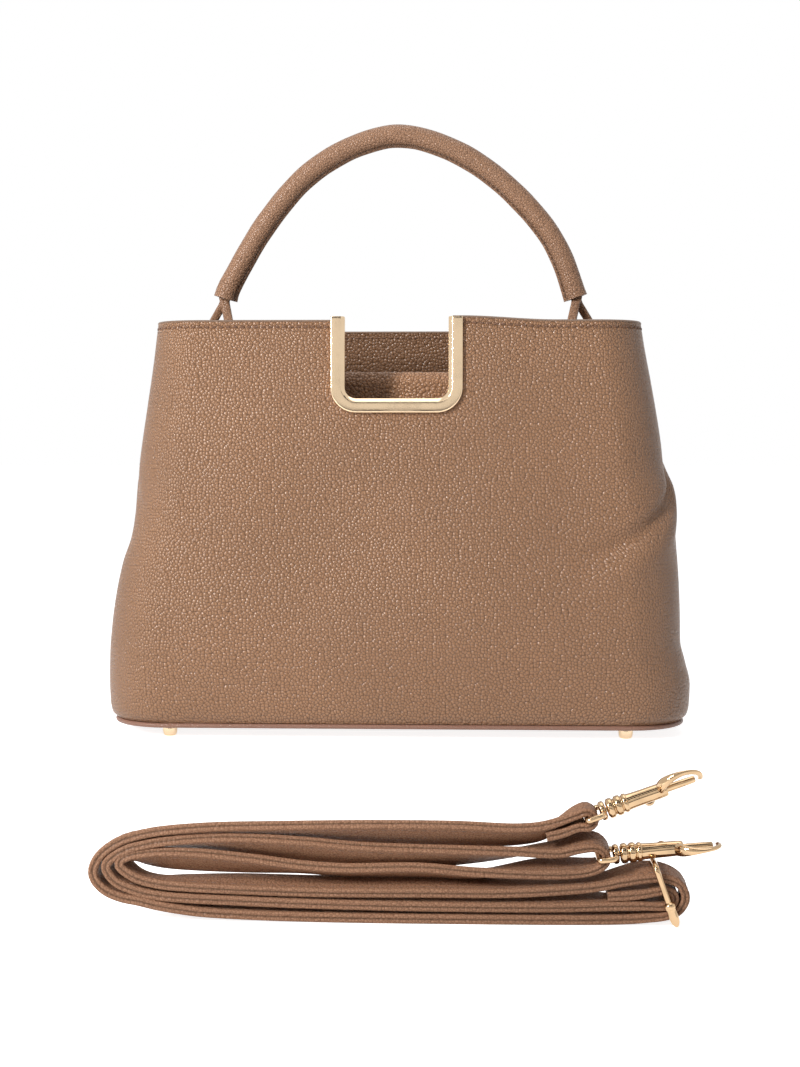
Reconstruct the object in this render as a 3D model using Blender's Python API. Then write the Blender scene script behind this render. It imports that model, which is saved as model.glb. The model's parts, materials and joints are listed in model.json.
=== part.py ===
"""Pebbled leather shoulder bag with one rolled handle, and its folded shoulder strap lying in front of it.

Metres, +Z up, the front faces -Y and the floor is z = 0. The origin is the bottom centre of the whole set.
"""

import math

import bmesh
import bpy
import numpy as np
from mathutils import Matrix, Vector

# General fits
GAP = 0.0003
CUT_MARGIN = 0.004

# Bag body
BAG_WIDTH = 0.337
TOP_WIDTH = 0.280
BASE_DEPTH = 0.130
TOP_DEPTH = 0.100
RIM_HEIGHT = 0.2375
SIDE_RIM_DROP = 0.012
BASE_CORNER_RADIUS = 0.033
TOP_CORNER_RADIUS = 0.028
BACK_RIM_DROP = 0.002
PANEL_WALL = 0.0024
FACING_WALL = 0.0012
FACING_BELOW_FRAME = 0.010
LINING_WALL = 0.0010

# Base, its piping and feet
FOOT_HEIGHT = 0.0060
FOOT_RADIUS = 0.0042
FOOT_FLAT_RADIUS = 0.0032
FOOT_STEM_RADIUS = 0.0015
FOOT_INSET_X = 0.0375
FOOT_INSET_Y = 0.0165
BASE_WALL = 0.0020
BOARD_WALL = 0.0020
PIPING_RADIUS = 0.0014

# Centre compartment and its zip
POCKET_TOP = 0.211
POCKET_TOP_DEPTH = 0.030
POCKET_BASE_DEPTH = 0.044
POCKET_WALL = 0.0020
POCKET_ROLL_RADIUS = 0.0050
POCKET_LIP = 0.0016
ZIP_TAPE_TUCK = 0.0020
ZIP_TAPE_WALL = 0.0008
ZIP_TOOTH_WIDTH = 0.0022
ZIP_TOOTH_HEIGHT = 0.0016
ZIP_LENGTH = 0.180
ZIP_STOP_LENGTH = 0.0030
ZIP_END_WALL = 0.0010
SLIDER_LENGTH = 0.0100
SLIDER_WIDTH = 0.0080
SLIDER_PLATE = 0.0011
BRIDGE_LENGTH = 0.0060
BRIDGE_WIDTH = 0.0020
BRIDGE_HEIGHT = 0.0028
BRIDGE_WALL = 0.0009
BRIDGE_ROOT = 0.0004
PULL_LENGTH = 0.0240
PULL_WIDTH = 0.0055
PULL_PIN_RADIUS = 0.0006
PULL_WINDOW_LENGTH = 0.0045

# U-shaped metal frame round the notch
FRAME_WIDTH = 0.0750
FRAME_HEIGHT = 0.0545
FRAME_BAND = 0.0081
FRAME_INNER_RADIUS = 0.0065
FRAME_PROUD = 0.0025
FRAME_STAND_UP = 0.0025
FRAME_LIP = 0.0012
FRAME_CHAMFER = 0.0022
BACK_PLATE_WALL = 0.0012
SCREW_RADIUS = 0.0009
SCREW_HEAD_RADIUS = 0.0019
SCREW_HEAD_HEIGHT = 0.0008
SCREW_DEPTHS = (0.012, 0.034)

# Rolled handle, its core and its four legs
HANDLE_HALF_WIDTH = 0.1043
HANDLE_BOTTOM = 0.2537
HANDLE_TOP = 0.3491
HANDLE_RADIUS = 0.0062
HANDLE_COVER_WALL = 0.0013
LEG_WIDTH = 0.0065
LEG_WALL = 0.0026
LEG_SEWN_LENGTH = 0.030
LEG_END = 0.0060
LEG_BOW = 0.0012
LEG_SPREAD = 0.0085

# D-rings and their tabs at the ends of the centre compartment
D_RING_INSET = 0.0150
D_RING_WIDTH = 0.0140
D_RING_LENGTH = 0.0125
D_RING_WIRE = 0.0012
D_RING_CORNERS = (0.0014, 0.0055)
D_RING_TAB_WIDTH = 0.0110
D_RING_TAB_WALL = 0.0012
D_RING_TAB_FLANGE = 0.0060

# Shoulder strap, its slide buckle and its two swivel hooks
STRAP_DISTANCE = 0.359
STRAP_SHIFT = 0.016
STRAP_WIDTH = 0.0130
STRAP_WALL = 0.0031
STRAP_STEP = 0.016
STRAP_TURN_STEP = math.radians(22.0)
RING_WIRE = 0.0011
RING_CLEARANCE = 0.0004
RING_CORNERS = (0.0014, 0.0020)
HOOK_EYE_LENGTH = 0.0062
HOOK_BOSS = ((0.0052, 0.0030), (0.0058, 0.0035), (0.0070, 0.0035), (0.0076, 0.0030))
HOOK_TUBE_RADIUS = 0.0028
HOOK_BORE_RADIUS = 0.00175
HOOK_BOLT_RADIUS = 0.0014
HOOK_TRAVEL = 0.0040
HOOK_WIRE = 0.0014
HOOK_TUBE_PROFILE = (
    (0.0079, 0.0026), (0.0085, 0.0036), (0.0103, 0.0036), (0.0109, 0.0027), (0.0115, 0.0036), (0.0133, 0.0036),
    (0.0139, 0.0028), (0.0144, 0.0034), (0.0156, 0.0034), (0.0161, 0.0028), (0.0300, 0.0028), (0.0308, 0.0023),
)
HOOK_CLAW = (
    (0.0284, 0.0018), (0.0304, 0.0048), (0.0340, 0.0067), (0.0380, 0.0069), (0.0414, 0.0054), (0.0432, 0.0030),
    (0.0436, 0.0008), (0.0434, -0.0010),
)
HOOK_NECK = 0.0124
HOOK_NECK_RADIUS = 0.0012
HOOK_STEM_RADIUS = 0.0009
HOOK_HEAD_RADIUS = 0.0014
HOOK_HEAD_LENGTH = 0.0013
HOOK_BOLT_START = 0.0209
HOOK_STUD = 0.0235
HOOK_STUD_RADIUS = 0.0010
HOOK_KNOB_RADIUS = 0.0022
HOOK_KNOB_HEIGHT = 0.0020
HOOK_TIP = 0.0416
SPRING_WIRE = 0.00028
SPRING_TURNS = 5.0
SPRING_FIT = 0.00015
BUCKLE_LEAN = math.radians(20.0)
BUCKLE_BAR = (0.0962, 0.0102)
BUCKLE_LOWER_WINDOW = 0.0096
BUCKLE_UPPER_WINDOW = 0.0128
HOOK_A_BAR = (0.0674, 0.0386)
HOOK_A_LEAN = math.radians(20.0)
HOOK_A_ROLL = math.radians(50.0)
HOOK_B_BAR = (0.0718, 0.0243)
HOOK_B_LEAN = math.radians(6.0)
HOOK_B_ROLL = math.radians(90.0)

# Places worked out from the sizes above
RING_HALF_WIDTH = STRAP_WIDTH / 2 + RING_CLEARANCE + 2 * RING_WIRE
BAG_Y = (STRAP_DISTANCE + RING_HALF_WIDTH) / 2
STRAP_Y = BAG_Y - BASE_DEPTH / 2 - STRAP_DISTANCE
SHELL_BOTTOM = FOOT_HEIGHT + 2 * PIPING_RADIUS + 2 * GAP
FACING_HEIGHT = FRAME_HEIGHT + FACING_BELOW_FRAME
STACK = PANEL_WALL + GAP + FACING_WALL
LINING_OFFSET = PANEL_WALL + GAP
CORE_OFFSET = LINING_OFFSET + LINING_WALL + GAP
BOARD_Z = FOOT_HEIGHT + BASE_WALL + GAP
BASE_LINING_Z = BOARD_Z + BOARD_WALL + GAP
POCKET_BOTTOM = BASE_LINING_Z + LINING_WALL + GAP

# The rim starts to fall where the front corner has turned this far towards the side
RIM_DROP_START = 0.8

# Shape of the side and front profiles: share of the height, share of the swell below the rim
WIDTH_SWELL = (
    (0.0, 0.88), (0.013, 0.96), (0.035, 0.99), (0.088, 1.0), (0.16, 0.965), (0.25, 0.88), (0.33, 0.81),
    (0.41, 0.71), (0.475, 0.62), (0.55, 0.56), (0.63, 0.45), (0.76, 0.27), (0.87, 0.14), (1.0, 0.0),
)
DEPTH_SWELL = (
    (0.0, 0.74), (0.013, 0.89), (0.035, 0.96), (0.088, 1.0), (0.16, 1.0), (0.25, 0.93), (0.33, 0.83),
    (0.41, 0.68), (0.475, 0.5565), (1.0, 0.0),
)

# Shape of the handle's arch: share of the half width from the middle, share of the height
HANDLE_ARCH = (
    (-1.0, 0.0), (-0.985, 0.052), (-0.94, 0.147), (-0.77, 0.455), (-0.54, 0.748), (-0.31, 0.912), (-0.10, 0.990),
    (0.0, 1.0), (0.14, 0.976), (0.37, 0.873), (0.595, 0.698), (0.82, 0.4355), (0.92, 0.247), (1.0, 0.0),
)

# Route of the folded strap seen from the front, as (x, z) of its front edge and how far it leans, in degrees
STRAP_ROUTE = (
    (0.0528, 0.0324, -6), (0.0590, 0.0338, -4), (0.0645, 0.0358, -2), (0.0682, 0.0359, 0),
    (0.0700, 0.0376, 0), (0.0699, 0.0398, 0), (0.0676, 0.0414, 0), (0.0640, 0.0402, 1), (0.0585, 0.0380, 4),
    (0.0520, 0.0364, 9), (0.0430, 0.0358, 27), (0.0200, 0.0356, 36), (-0.0100, 0.0352, 35),
    (-0.0400, 0.0349, 28), (-0.0720, 0.0347, 20), (-0.0920, 0.0342, 12), (-0.1030, 0.0315, 7),
    (-0.1098, 0.0253, 4), (-0.1116, 0.0183, 3), (-0.1095, 0.0105, 2), (-0.1025, 0.0046, 0),
    (-0.0920, 0.0026, 0), (-0.0720, 0.0020, 0), (-0.0500, 0.0015, 0), (-0.0200, 0.0014, 0),
    (0.0200, 0.0014, 0), (0.0600, 0.0016, 0), (0.0800, 0.0022, 0), (0.0890, 0.0030, 0), (0.0965, 0.0037, 0),
    (0.1015, 0.0056, 0), (0.1042, 0.0102, 0), (0.1020, 0.0152, 0), (0.0960, 0.0172, -1), (0.0880, 0.0167, -7),
    (0.0800, 0.0156, -4), (0.0720, 0.0149, -1), (0.0600, 0.0142, -2), (0.0400, 0.0126, -4),
    (0.0070, 0.0106, -2), (-0.0300, 0.0106, -2), (-0.0600, 0.0116, -3), (-0.0850, 0.0126, -4),
    (-0.0945, 0.0136, -1), (-0.0988, 0.0160, 0), (-0.1004, 0.0193, 0),
    (-0.0988, 0.0226, -2), (-0.0945, 0.0246, -7), (-0.0860, 0.0254, -20),
    (-0.0720, 0.0250, -30), (-0.0360, 0.0214, -20), (0.0070, 0.0194, -17), (0.0500, 0.0176, 5),
    (0.0620, 0.0178, 6), (0.0680, 0.0184, 2), (0.0722, 0.0200, 0), (0.0744, 0.0232, 0), (0.0741, 0.0272, 0),
    (0.0708, 0.0301, 0), (0.0650, 0.0304, 0), (0.0580, 0.0286, 2), (0.0500, 0.0270, 6), (0.0430, 0.0262, 12),
    (0.0070, 0.0262, 31), (-0.0150, 0.0278, 34), (-0.0360, 0.0298, 37), (-0.0600, 0.0306, 34),
    (-0.0780, 0.0304, 20), (-0.0920, 0.0296, 9), (-0.1010, 0.0264, 4), (-0.1058, 0.0200, 3),
    (-0.1035, 0.0122, 2), (-0.0950, 0.0084, 0), (-0.0820, 0.0080, 0), (-0.0600, 0.0076, 0),
    (-0.0360, 0.0069, 0), (0.0070, 0.0061, 0), (0.0430, 0.0061, 0), (0.0650, 0.0066, 0), (0.0800, 0.0072, 0),
    (0.0880, 0.0073, 0), (0.0962, 0.0073, 0), (0.0985, 0.0084, 0), (0.0991, 0.0102, 0), (0.0982, 0.0122, 0),
    (0.0962, 0.0130, 0), (0.0930, 0.0126, 0), (0.0890, 0.0118, 0), (0.0820, 0.0110, 0), (0.0750, 0.0106, 0),
)


def clear_scene():
    for obj in list(bpy.data.objects):
        bpy.data.objects.remove(obj, do_unlink=True)


def make_material(name, colour, roughness, metallic):
    material = bpy.data.materials.new(name)
    material.use_nodes = True
    shader = material.node_tree.nodes["Principled BSDF"]
    shader.inputs["Base Color"].default_value = (*colour, 1.0)
    shader.inputs["Roughness"].default_value = roughness
    shader.inputs["Metallic"].default_value = metallic
    return material


FINISHES = {
    "leather": ((0.352, 0.205, 0.122), 0.55, 0.0),
    "handle_leather": ((0.340, 0.196, 0.118), 0.55, 0.0),
    "strap_leather": ((0.270, 0.150, 0.092), 0.60, 0.0),
    "piping_leather": ((0.310, 0.165, 0.110), 0.55, 0.0),
    "lining": ((0.300, 0.215, 0.150), 0.85, 0.0),
    "board": ((0.180, 0.150, 0.120), 0.90, 0.0),
    "cord_core": ((0.620, 0.560, 0.460), 0.90, 0.0),
    "gold": ((0.820, 0.600, 0.390), 0.22, 1.0),
    "zip_metal": ((0.760, 0.560, 0.340), 0.30, 1.0),
    "spring_steel": ((0.550, 0.550, 0.560), 0.35, 1.0),
    "zip_tape": ((0.200, 0.120, 0.080), 0.90, 0.0),
}


def add_object(name, mesh, finish, origin=None):
    obj = bpy.data.objects.new(name, mesh)
    bpy.context.scene.collection.objects.link(obj)
    if finish:
        colour, roughness, metallic = FINISHES[finish]
        mesh.materials.append(make_material(name + "_finish", colour, roughness, metallic))
    if origin is not None:
        place = Vector(origin)
        mesh.transform(Matrix.Translation(-place))
        obj.location = place
    return obj


def set_origin(obj, place):
    """Moves an object's origin to a point of its joint's axis and leaves its mesh where it is."""
    obj.data.transform(Matrix.Translation(-Vector(place)))
    obj.location = place


def mesh_from(name, points, faces):
    """A mesh with merged doubles, its faces turned outwards."""
    mesh = bpy.data.meshes.new(name)
    mesh.from_pydata([tuple(float(c) for c in p) for p in points], [], faces)
    bm = bmesh.new()
    bm.from_mesh(mesh)
    bmesh.ops.recalc_face_normals(bm, faces=bm.faces)
    bm.to_mesh(mesh)
    bm.free()
    return mesh


def smooth(mesh):
    mesh.shade_smooth()
    mesh.set_sharp_from_angle(angle=math.radians(35.0))


def slab(name, outer, inner, finish):
    """A solid between two grids of points with the same rows and columns."""
    rows, columns = outer.shape[:2]
    points = np.concatenate([outer.reshape(-1, 3), inner.reshape(-1, 3)])
    shift = rows * columns
    faces = []
    for r in range(rows - 1):
        for c in range(columns - 1):
            a = r * columns + c
            quad = (a, a + 1, a + columns + 1, a + columns)
            faces.append(quad)
            faces.append(tuple(shift + i for i in reversed(quad)))
    border = [c for c in range(columns)]
    border += [r * columns + columns - 1 for r in range(1, rows)]
    border += [(rows - 1) * columns + c for c in range(columns - 2, -1, -1)]
    border += [r * columns for r in range(rows - 2, 0, -1)]
    for a, b in zip(border, border[1:] + border[:1]):
        faces.append((b, a, shift + a, shift + b))
    mesh = mesh_from(name, points, faces)
    smooth(mesh)
    return add_object(name, mesh, finish)


def sweep(name, path, normals, binormals, section, finish, closed=False):
    """A closed section of (normal, binormal) points carried along a path."""
    path = np.asarray(path, dtype=float)
    normals = np.asarray(normals, dtype=float)
    binormals = np.asarray(binormals, dtype=float)
    section = np.asarray(section, dtype=float)
    if section.ndim == 2:
        section = np.repeat(section[None], len(path), axis=0)
    count, sides = section.shape[:2]
    rings = path[:, None] + normals[:, None] * section[..., :1] + binormals[:, None] * section[..., 1:]
    faces = []
    for r in range(count if closed else count - 1):
        nxt = (r + 1) % count
        for s in range(sides):
            t = (s + 1) % sides
            faces.append((r * sides + s, r * sides + t, nxt * sides + t, nxt * sides + s))
    if not closed:
        faces.append(tuple(reversed(range(sides))))
        faces.append(tuple((count - 1) * sides + s for s in range(sides)))
    mesh = mesh_from(name, rings.reshape(-1, 3), faces)
    smooth(mesh)
    return add_object(name, mesh, finish)


def frames_along(path, binormal, closed=False):
    """Normals of a planar path whose plane has the given binormal."""
    path = np.asarray(path, dtype=float)
    if closed:
        tangent = np.roll(path, -1, axis=0) - np.roll(path, 1, axis=0)
    else:
        tangent = np.gradient(path, axis=0)
    tangent /= np.linalg.norm(tangent, axis=1)[:, None]
    binormal = np.asarray(binormal, dtype=float)
    normal = np.cross(binormal, tangent)
    normal /= np.linalg.norm(normal, axis=1)[:, None]
    return normal, np.repeat(binormal[None], len(path), axis=0)


def circle(radius, sides, start=0.0):
    angles = start + np.arange(sides) * 2 * math.pi / sides
    return np.stack([radius * np.cos(angles), radius * np.sin(angles)], axis=1)


def rectangle(width, height):
    return np.array([(-width, -height), (width, -height), (width, height), (-width, height)]) / 2


def turned(name, profile, sides, place, finish):
    """A profile of (distance along the axis, radius) points turned about the axis. Ends on the axis close it."""
    points = []
    rings = []
    for along, radius in profile:
        if radius == 0.0:
            rings.append([len(points)])
            points.append((along, 0.0, 0.0))
            continue
        ring = []
        for y, z in circle(radius, sides):
            ring.append(len(points))
            points.append((along, y, z))
        rings.append(ring)
    faces = []
    pairs = list(zip(rings, rings[1:]))
    if profile[0][1] != 0.0:
        pairs.append((rings[-1], rings[0]))
    for first, second in pairs:
        for s in range(sides):
            t = (s + 1) % sides
            if len(first) == 1:
                faces.append((first[0], second[s], second[t]))
            elif len(second) == 1:
                faces.append((first[s], second[0], first[t]))
            else:
                faces.append((first[s], second[s], second[t], first[t]))
    mesh = mesh_from(name, points, faces)
    mesh.transform(place)
    smooth(mesh)
    return add_object(name, mesh, finish)


def box(name, low, high, finish):
    (x0, y0, z0), (x1, y1, z1) = low, high
    points = [(x, y, z) for z in (z0, z1) for y in (y0, y1) for x in (x0, x1)]
    faces = [(0, 2, 3, 1), (4, 5, 7, 6), (0, 1, 5, 4), (2, 6, 7, 3), (0, 4, 6, 2), (1, 3, 7, 5)]
    return add_object(name, mesh_from(name, points, faces), finish)


def extrude_outline(name, outline, place, depth, finish):
    """A flat outline of (u, v) points given a depth along w and carried to its place."""
    outline = np.asarray(outline, dtype=float)
    count = len(outline)
    low = np.column_stack([outline, np.zeros(count)])
    high = np.column_stack([outline, np.full(count, depth)])
    faces = [tuple(reversed(range(count))), tuple(range(count, 2 * count))]
    faces += [(i, (i + 1) % count, count + (i + 1) % count, count + i) for i in range(count)]
    mesh = mesh_from(name, np.concatenate([low, high]), faces)
    mesh.transform(place)
    return add_object(name, mesh, finish)


def join_meshes(name, objects):
    """One cutter object made of several loose bodies."""
    bm = bmesh.new()
    for obj in objects:
        copy = obj.data.copy()
        copy.transform(obj.matrix_basis)
        bm.from_mesh(copy)
        bpy.data.meshes.remove(copy)
    mesh = bpy.data.meshes.new(name)
    bm.to_mesh(mesh)
    bm.free()
    for obj in objects:
        bpy.data.objects.remove(obj, do_unlink=True)
    return add_object(name, mesh, None)


def as_cutter(obj):
    obj.hide_render = True
    obj.display_type = "WIRE"
    return obj


def boolean(obj, other, operation):
    modifier = obj.modifiers.new(operation.lower(), "BOOLEAN")
    modifier.operation = operation
    modifier.object = as_cutter(other)
    modifier.solver = "EXACT"
    return obj


def spline(points, count):
    """Points at even steps on a smooth curve through the given ones (centripetal Catmull-Rom)."""
    points = np.asarray(points, dtype=float)
    padded = np.concatenate([[2 * points[0] - points[1]], points, [2 * points[-1] - points[-2]]])
    dense = []
    for p0, p1, p2, p3 in zip(padded, padded[1:], padded[2:], padded[3:]):
        t0 = 0.0
        t1 = t0 + math.sqrt(np.linalg.norm(p1 - p0))
        t2 = t1 + math.sqrt(np.linalg.norm(p2 - p1))
        t3 = t2 + math.sqrt(np.linalg.norm(p3 - p2))
        t = np.linspace(t1, t2, 12, endpoint=False)[:, None]
        a1 = (t1 - t) / (t1 - t0) * p0 + (t - t0) / (t1 - t0) * p1
        a2 = (t2 - t) / (t2 - t1) * p1 + (t - t1) / (t2 - t1) * p2
        a3 = (t3 - t) / (t3 - t2) * p2 + (t - t2) / (t3 - t2) * p3
        b1 = (t2 - t) / (t2 - t0) * a1 + (t - t0) / (t2 - t0) * a2
        b2 = (t3 - t) / (t3 - t1) * a2 + (t - t1) / (t3 - t1) * a3
        dense.append((t2 - t) / (t2 - t1) * b1 + (t - t1) / (t2 - t1) * b2)
    dense = np.concatenate(dense + [points[-1:]])
    return resample(dense, count) if count else dense


def resample_by_bend(points, longest, sharpest):
    """Points no further apart than longest, and closer where the curve turns, by sharpest for each step."""
    steps = np.diff(points, axis=0)
    lengths = np.linalg.norm(steps, axis=1)
    heading = steps / lengths[:, None]
    turning = np.arccos(np.clip((heading[1:] * heading[:-1]).sum(axis=1), -1.0, 1.0))
    effort = lengths / longest + np.concatenate([turning, [0.0]]) / sharpest
    total = np.concatenate([[0.0], np.cumsum(effort)])
    wanted = np.linspace(0.0, total[-1], int(math.ceil(total[-1])) + 1)
    return np.stack([np.interp(wanted, total, points[:, k]) for k in range(points.shape[1])], axis=1)


def resample(points, count):
    steps = np.linalg.norm(np.diff(points, axis=0), axis=1)
    along = np.concatenate([[0.0], np.cumsum(steps)])
    wanted = np.linspace(0.0, along[-1], count)
    return np.stack([np.interp(wanted, along, points[:, k]) for k in range(points.shape[1])], axis=1)


def swell(table, z):
    share = (np.asarray(z) - SHELL_BOTTOM) / (RIM_HEIGHT - SHELL_BOTTOM)
    return np.interp(share, [row[0] for row in table], [row[1] for row in table])


def half_width(z):
    return TOP_WIDTH / 2 + (BAG_WIDTH - TOP_WIDTH) / 2 * swell(WIDTH_SWELL, z)


def half_depth(z):
    return TOP_DEPTH / 2 + (BASE_DEPTH - TOP_DEPTH) / 2 * swell(DEPTH_SWELL, z)


def corner_radius(z):
    share = (np.asarray(z) - SHELL_BOTTOM) / (RIM_HEIGHT - SHELL_BOTTOM)
    return BASE_CORNER_RADIUS + (TOP_CORNER_RADIUS - BASE_CORNER_RADIUS) * np.clip(share, 0.0, 1.0)


def half_plan(z, inset, seam_gap):
    """Half of a rounded rectangle, from the left side seam round the front to the right side seam.

    Returns points of (x, distance to the front) and how far each one has come round: 0 on the front, 1 where the
    corner ends and 2 at the side seam.
    """
    width = float(half_width(z)) - inset
    depth = float(half_depth(z)) - inset
    radius = float(corner_radius(z)) - inset
    side = [(width, seam_gap), (width, (depth - radius + seam_gap) / 2)]
    turn = [2.0, 1.5]
    for angle in np.linspace(0.0, math.pi / 2, 6):
        side.append((width - radius + radius * math.cos(angle), depth - radius + radius * math.sin(angle)))
        turn.append(1.0 - angle / (math.pi / 2))
    front = [(x, depth) for x in np.linspace(-(width - radius), width - radius, 9)[1:-1]]
    left = [(-x, d) for x, d in side]
    points = left + front + side[::-1]
    turns = turn + [0.0] * len(front) + turn[::-1]
    return np.array(points), np.array(turns)


def shell_grid(facing, inset, top_drop):
    """Rows of points of one face of a half shell, from its bottom edge to its rim."""
    _, turns = half_plan(RIM_HEIGHT, inset, GAP / 2)
    t = np.clip((turns - RIM_DROP_START) / (2.0 - RIM_DROP_START), 0.0, 1.0)
    ease = t * t * (3 - 2 * t)
    rims = RIM_HEIGHT - top_drop - SIDE_RIM_DROP * ease
    grid = np.zeros((len(SHELL_ROWS), len(turns), 3))
    for r, share in enumerate(SHELL_ROWS):
        for c, rim in enumerate(rims):
            z = SHELL_BOTTOM + (rim - SHELL_BOTTOM) * share
            plan, _ = half_plan(z, inset, GAP / 2)
            x, d = plan[c]
            grid[r, c] = (x, BAG_Y + facing * d, z)
    return grid


def cut_band(grid, below_rim_low, below_rim_high):
    """The band of a shell grid between two distances below its rim. A distance of None is the bottom edge."""
    rows, columns = grid.shape[:2]
    rim = grid[-1, :, 2]
    low = grid[0, :, 2] if below_rim_low is None else rim - below_rim_low
    high = rim - below_rim_high
    levels = [low]
    for r in range(rows):
        inside = (grid[r, :, 2] > low + GAP) & (grid[r, :, 2] < high - GAP)
        if inside.all():
            levels.append(grid[r, :, 2])
    levels.append(high)
    band = np.zeros((len(levels), columns, 3))
    for c in range(columns):
        z = np.array([level[c] for level in levels])
        for k in range(2):
            band[:, c, k] = np.interp(z, grid[:, c, 2], grid[:, c, k])
        band[:, c, 2] = z
    return band


def half_shell(name, facing, inset, wall, low, high, top_drop, finish):
    outer = cut_band(shell_grid(facing, inset, top_drop), low, high)
    inner = cut_band(shell_grid(facing, inset + wall, top_drop), low, high)
    return slab(name, outer, inner, finish)


def side_levels():
    """Heights of the shell's rows at its side seam."""
    rim = RIM_HEIGHT - SIDE_RIM_DROP
    return np.array([SHELL_BOTTOM + (rim - SHELL_BOTTOM) * share for share in SHELL_ROWS])


def side_reach(z):
    """Half width of the faceted shell at its side seam."""
    levels = side_levels()
    return np.interp(z, levels, half_width(levels))


SHELL_ROWS = (0.0, 0.013, 0.035, 0.088, 0.16, 0.25, 0.33, 0.41, 0.475, 0.60, 0.80, 1.0)
FRONT = -1.0
BACK = 1.0


def front_plane():
    """Origin and axes of the flat upper front: x, up the slope and out of the front."""
    lower = RIM_HEIGHT - FRAME_HEIGHT
    rise = Vector((0.0, float(half_depth(lower) - half_depth(RIM_HEIGHT)), RIM_HEIGHT - lower)).normalized()
    out = Vector((1.0, 0.0, 0.0)).cross(rise)
    origin = Vector((0.0, BAG_Y - float(half_depth(RIM_HEIGHT)), RIM_HEIGHT))
    return origin, rise, out


def notch_path(offset, top):
    """The U of the notch on the front plane, moved outwards by offset, from its left top to its right top."""
    half = FRAME_WIDTH / 2 - FRAME_BAND + offset
    bottom = FRAME_STAND_UP - FRAME_HEIGHT + FRAME_BAND - offset
    radius = FRAME_INNER_RADIUS + offset
    points = [(-half, top), (-half, (top + bottom) / 2)]
    for angle in np.linspace(math.pi, 1.5 * math.pi, 6):
        points.append((-half + radius + radius * math.cos(angle), bottom + radius + radius * math.sin(angle)))
    for angle in np.linspace(1.5 * math.pi, 2 * math.pi, 6):
        points.append((half - radius + radius * math.cos(angle), bottom + radius + radius * math.sin(angle)))
    points += [(half, (top + bottom) / 2), (half, top)]
    return np.array(points)


def on_front(points, out_distance):
    origin, rise, out = front_plane()
    return [origin + Vector((u, 0.0, 0.0)) + rise * float(v) + out * out_distance for u, v in points]


def front_matrix(out_distance):
    """Carries (u, v, w) to the front plane: u along x, v up the slope, w out of the front."""
    origin, rise, out = front_plane()
    place = Matrix.Identity(4)
    place.col[0] = (1.0, 0.0, 0.0, 0.0)
    place.col[1] = (*rise, 0.0)
    place.col[2] = (*out, 0.0)
    place.col[3] = (*(origin + out_distance * out), 1.0)
    return place


def u_frame(name, section, top, finish):
    """A section of (offset outwards, distance out of the front) points carried round the notch."""
    rings = []
    for offset, out_distance in section:
        rings.append([tuple(p) for p in on_front(notch_path(offset, top), out_distance)])
    rings = np.array(rings).transpose(1, 0, 2)
    count, sides = rings.shape[:2]
    faces = []
    for r in range(count - 1):
        for s in range(sides):
            t = (s + 1) % sides
            faces.append((r * sides + s, r * sides + t, (r + 1) * sides + t, (r + 1) * sides + s))
    faces.append(tuple(reversed(range(sides))))
    faces.append(tuple((count - 1) * sides + s for s in range(sides)))
    mesh = mesh_from(name, rings.reshape(-1, 3), faces)
    smooth(mesh)
    return add_object(name, mesh, finish)


def notch_cutter():
    outline = notch_path(FRAME_LIP + GAP, CUT_MARGIN)
    depth = STACK + 2 * CUT_MARGIN
    return extrude_outline("notch_cutter", outline, front_matrix(-STACK - CUT_MARGIN), depth, None)


def screw_places():
    u = FRAME_WIDTH / 2 - FRAME_BAND / 2
    return [(side * u, -depth) for side in (-1, 1) for depth in SCREW_DEPTHS]


def axis_matrix(origin, along, up):
    """Carries +X to along and +Z to roughly up, with its origin at the given place."""
    along = Vector(along).normalized()
    across = Vector(up).cross(along).normalized()
    top = along.cross(across)
    place = Matrix.Identity(4)
    place.col[0] = (*along, 0.0)
    place.col[1] = (*across, 0.0)
    place.col[2] = (*top, 0.0)
    place.col[3] = (*origin, 1.0)
    return place


def build_shell():
    notch = as_cutter(notch_cutter())
    holes = screw_hole_cutter()
    for word, facing, drop in (("front", FRONT, 0.0), ("back", BACK, BACK_RIM_DROP)):
        panel = half_shell(word + "_panel", facing, 0.0, PANEL_WALL, None, 0.0, drop, "leather")
        lip = half_shell(word + "_facing", facing, LINING_OFFSET, FACING_WALL, FACING_HEIGHT, 0.0, drop, "leather")
        lining_top = FACING_HEIGHT + GAP
        half_shell(word + "_lining", facing, LINING_OFFSET, LINING_WALL, None, lining_top, drop, "lining")
        if facing == FRONT:
            for obj in (panel, lip):
                boolean(obj, notch, "DIFFERENCE")
                boolean(obj, holes, "DIFFERENCE")


def screw_hole_cutter():
    origin, rise, out = front_plane()
    pieces = []
    for index, (u, v) in enumerate(screw_places()):
        back = origin + Vector((u, 0.0, 0.0)) + v * rise - (STACK + CUT_MARGIN) * out
        depth = STACK + CUT_MARGIN + FRAME_PROUD / 2 + GAP
        radius = SCREW_RADIUS + GAP
        profile = [(0.0, 0.0), (0.0, radius), (depth, radius), (depth, 0.0)]
        pieces.append(turned(f"screw_hole_{index}", profile, 8, axis_matrix(back, out, rise), None))
    return as_cutter(join_meshes("screw_hole_cutter", pieces))


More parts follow.
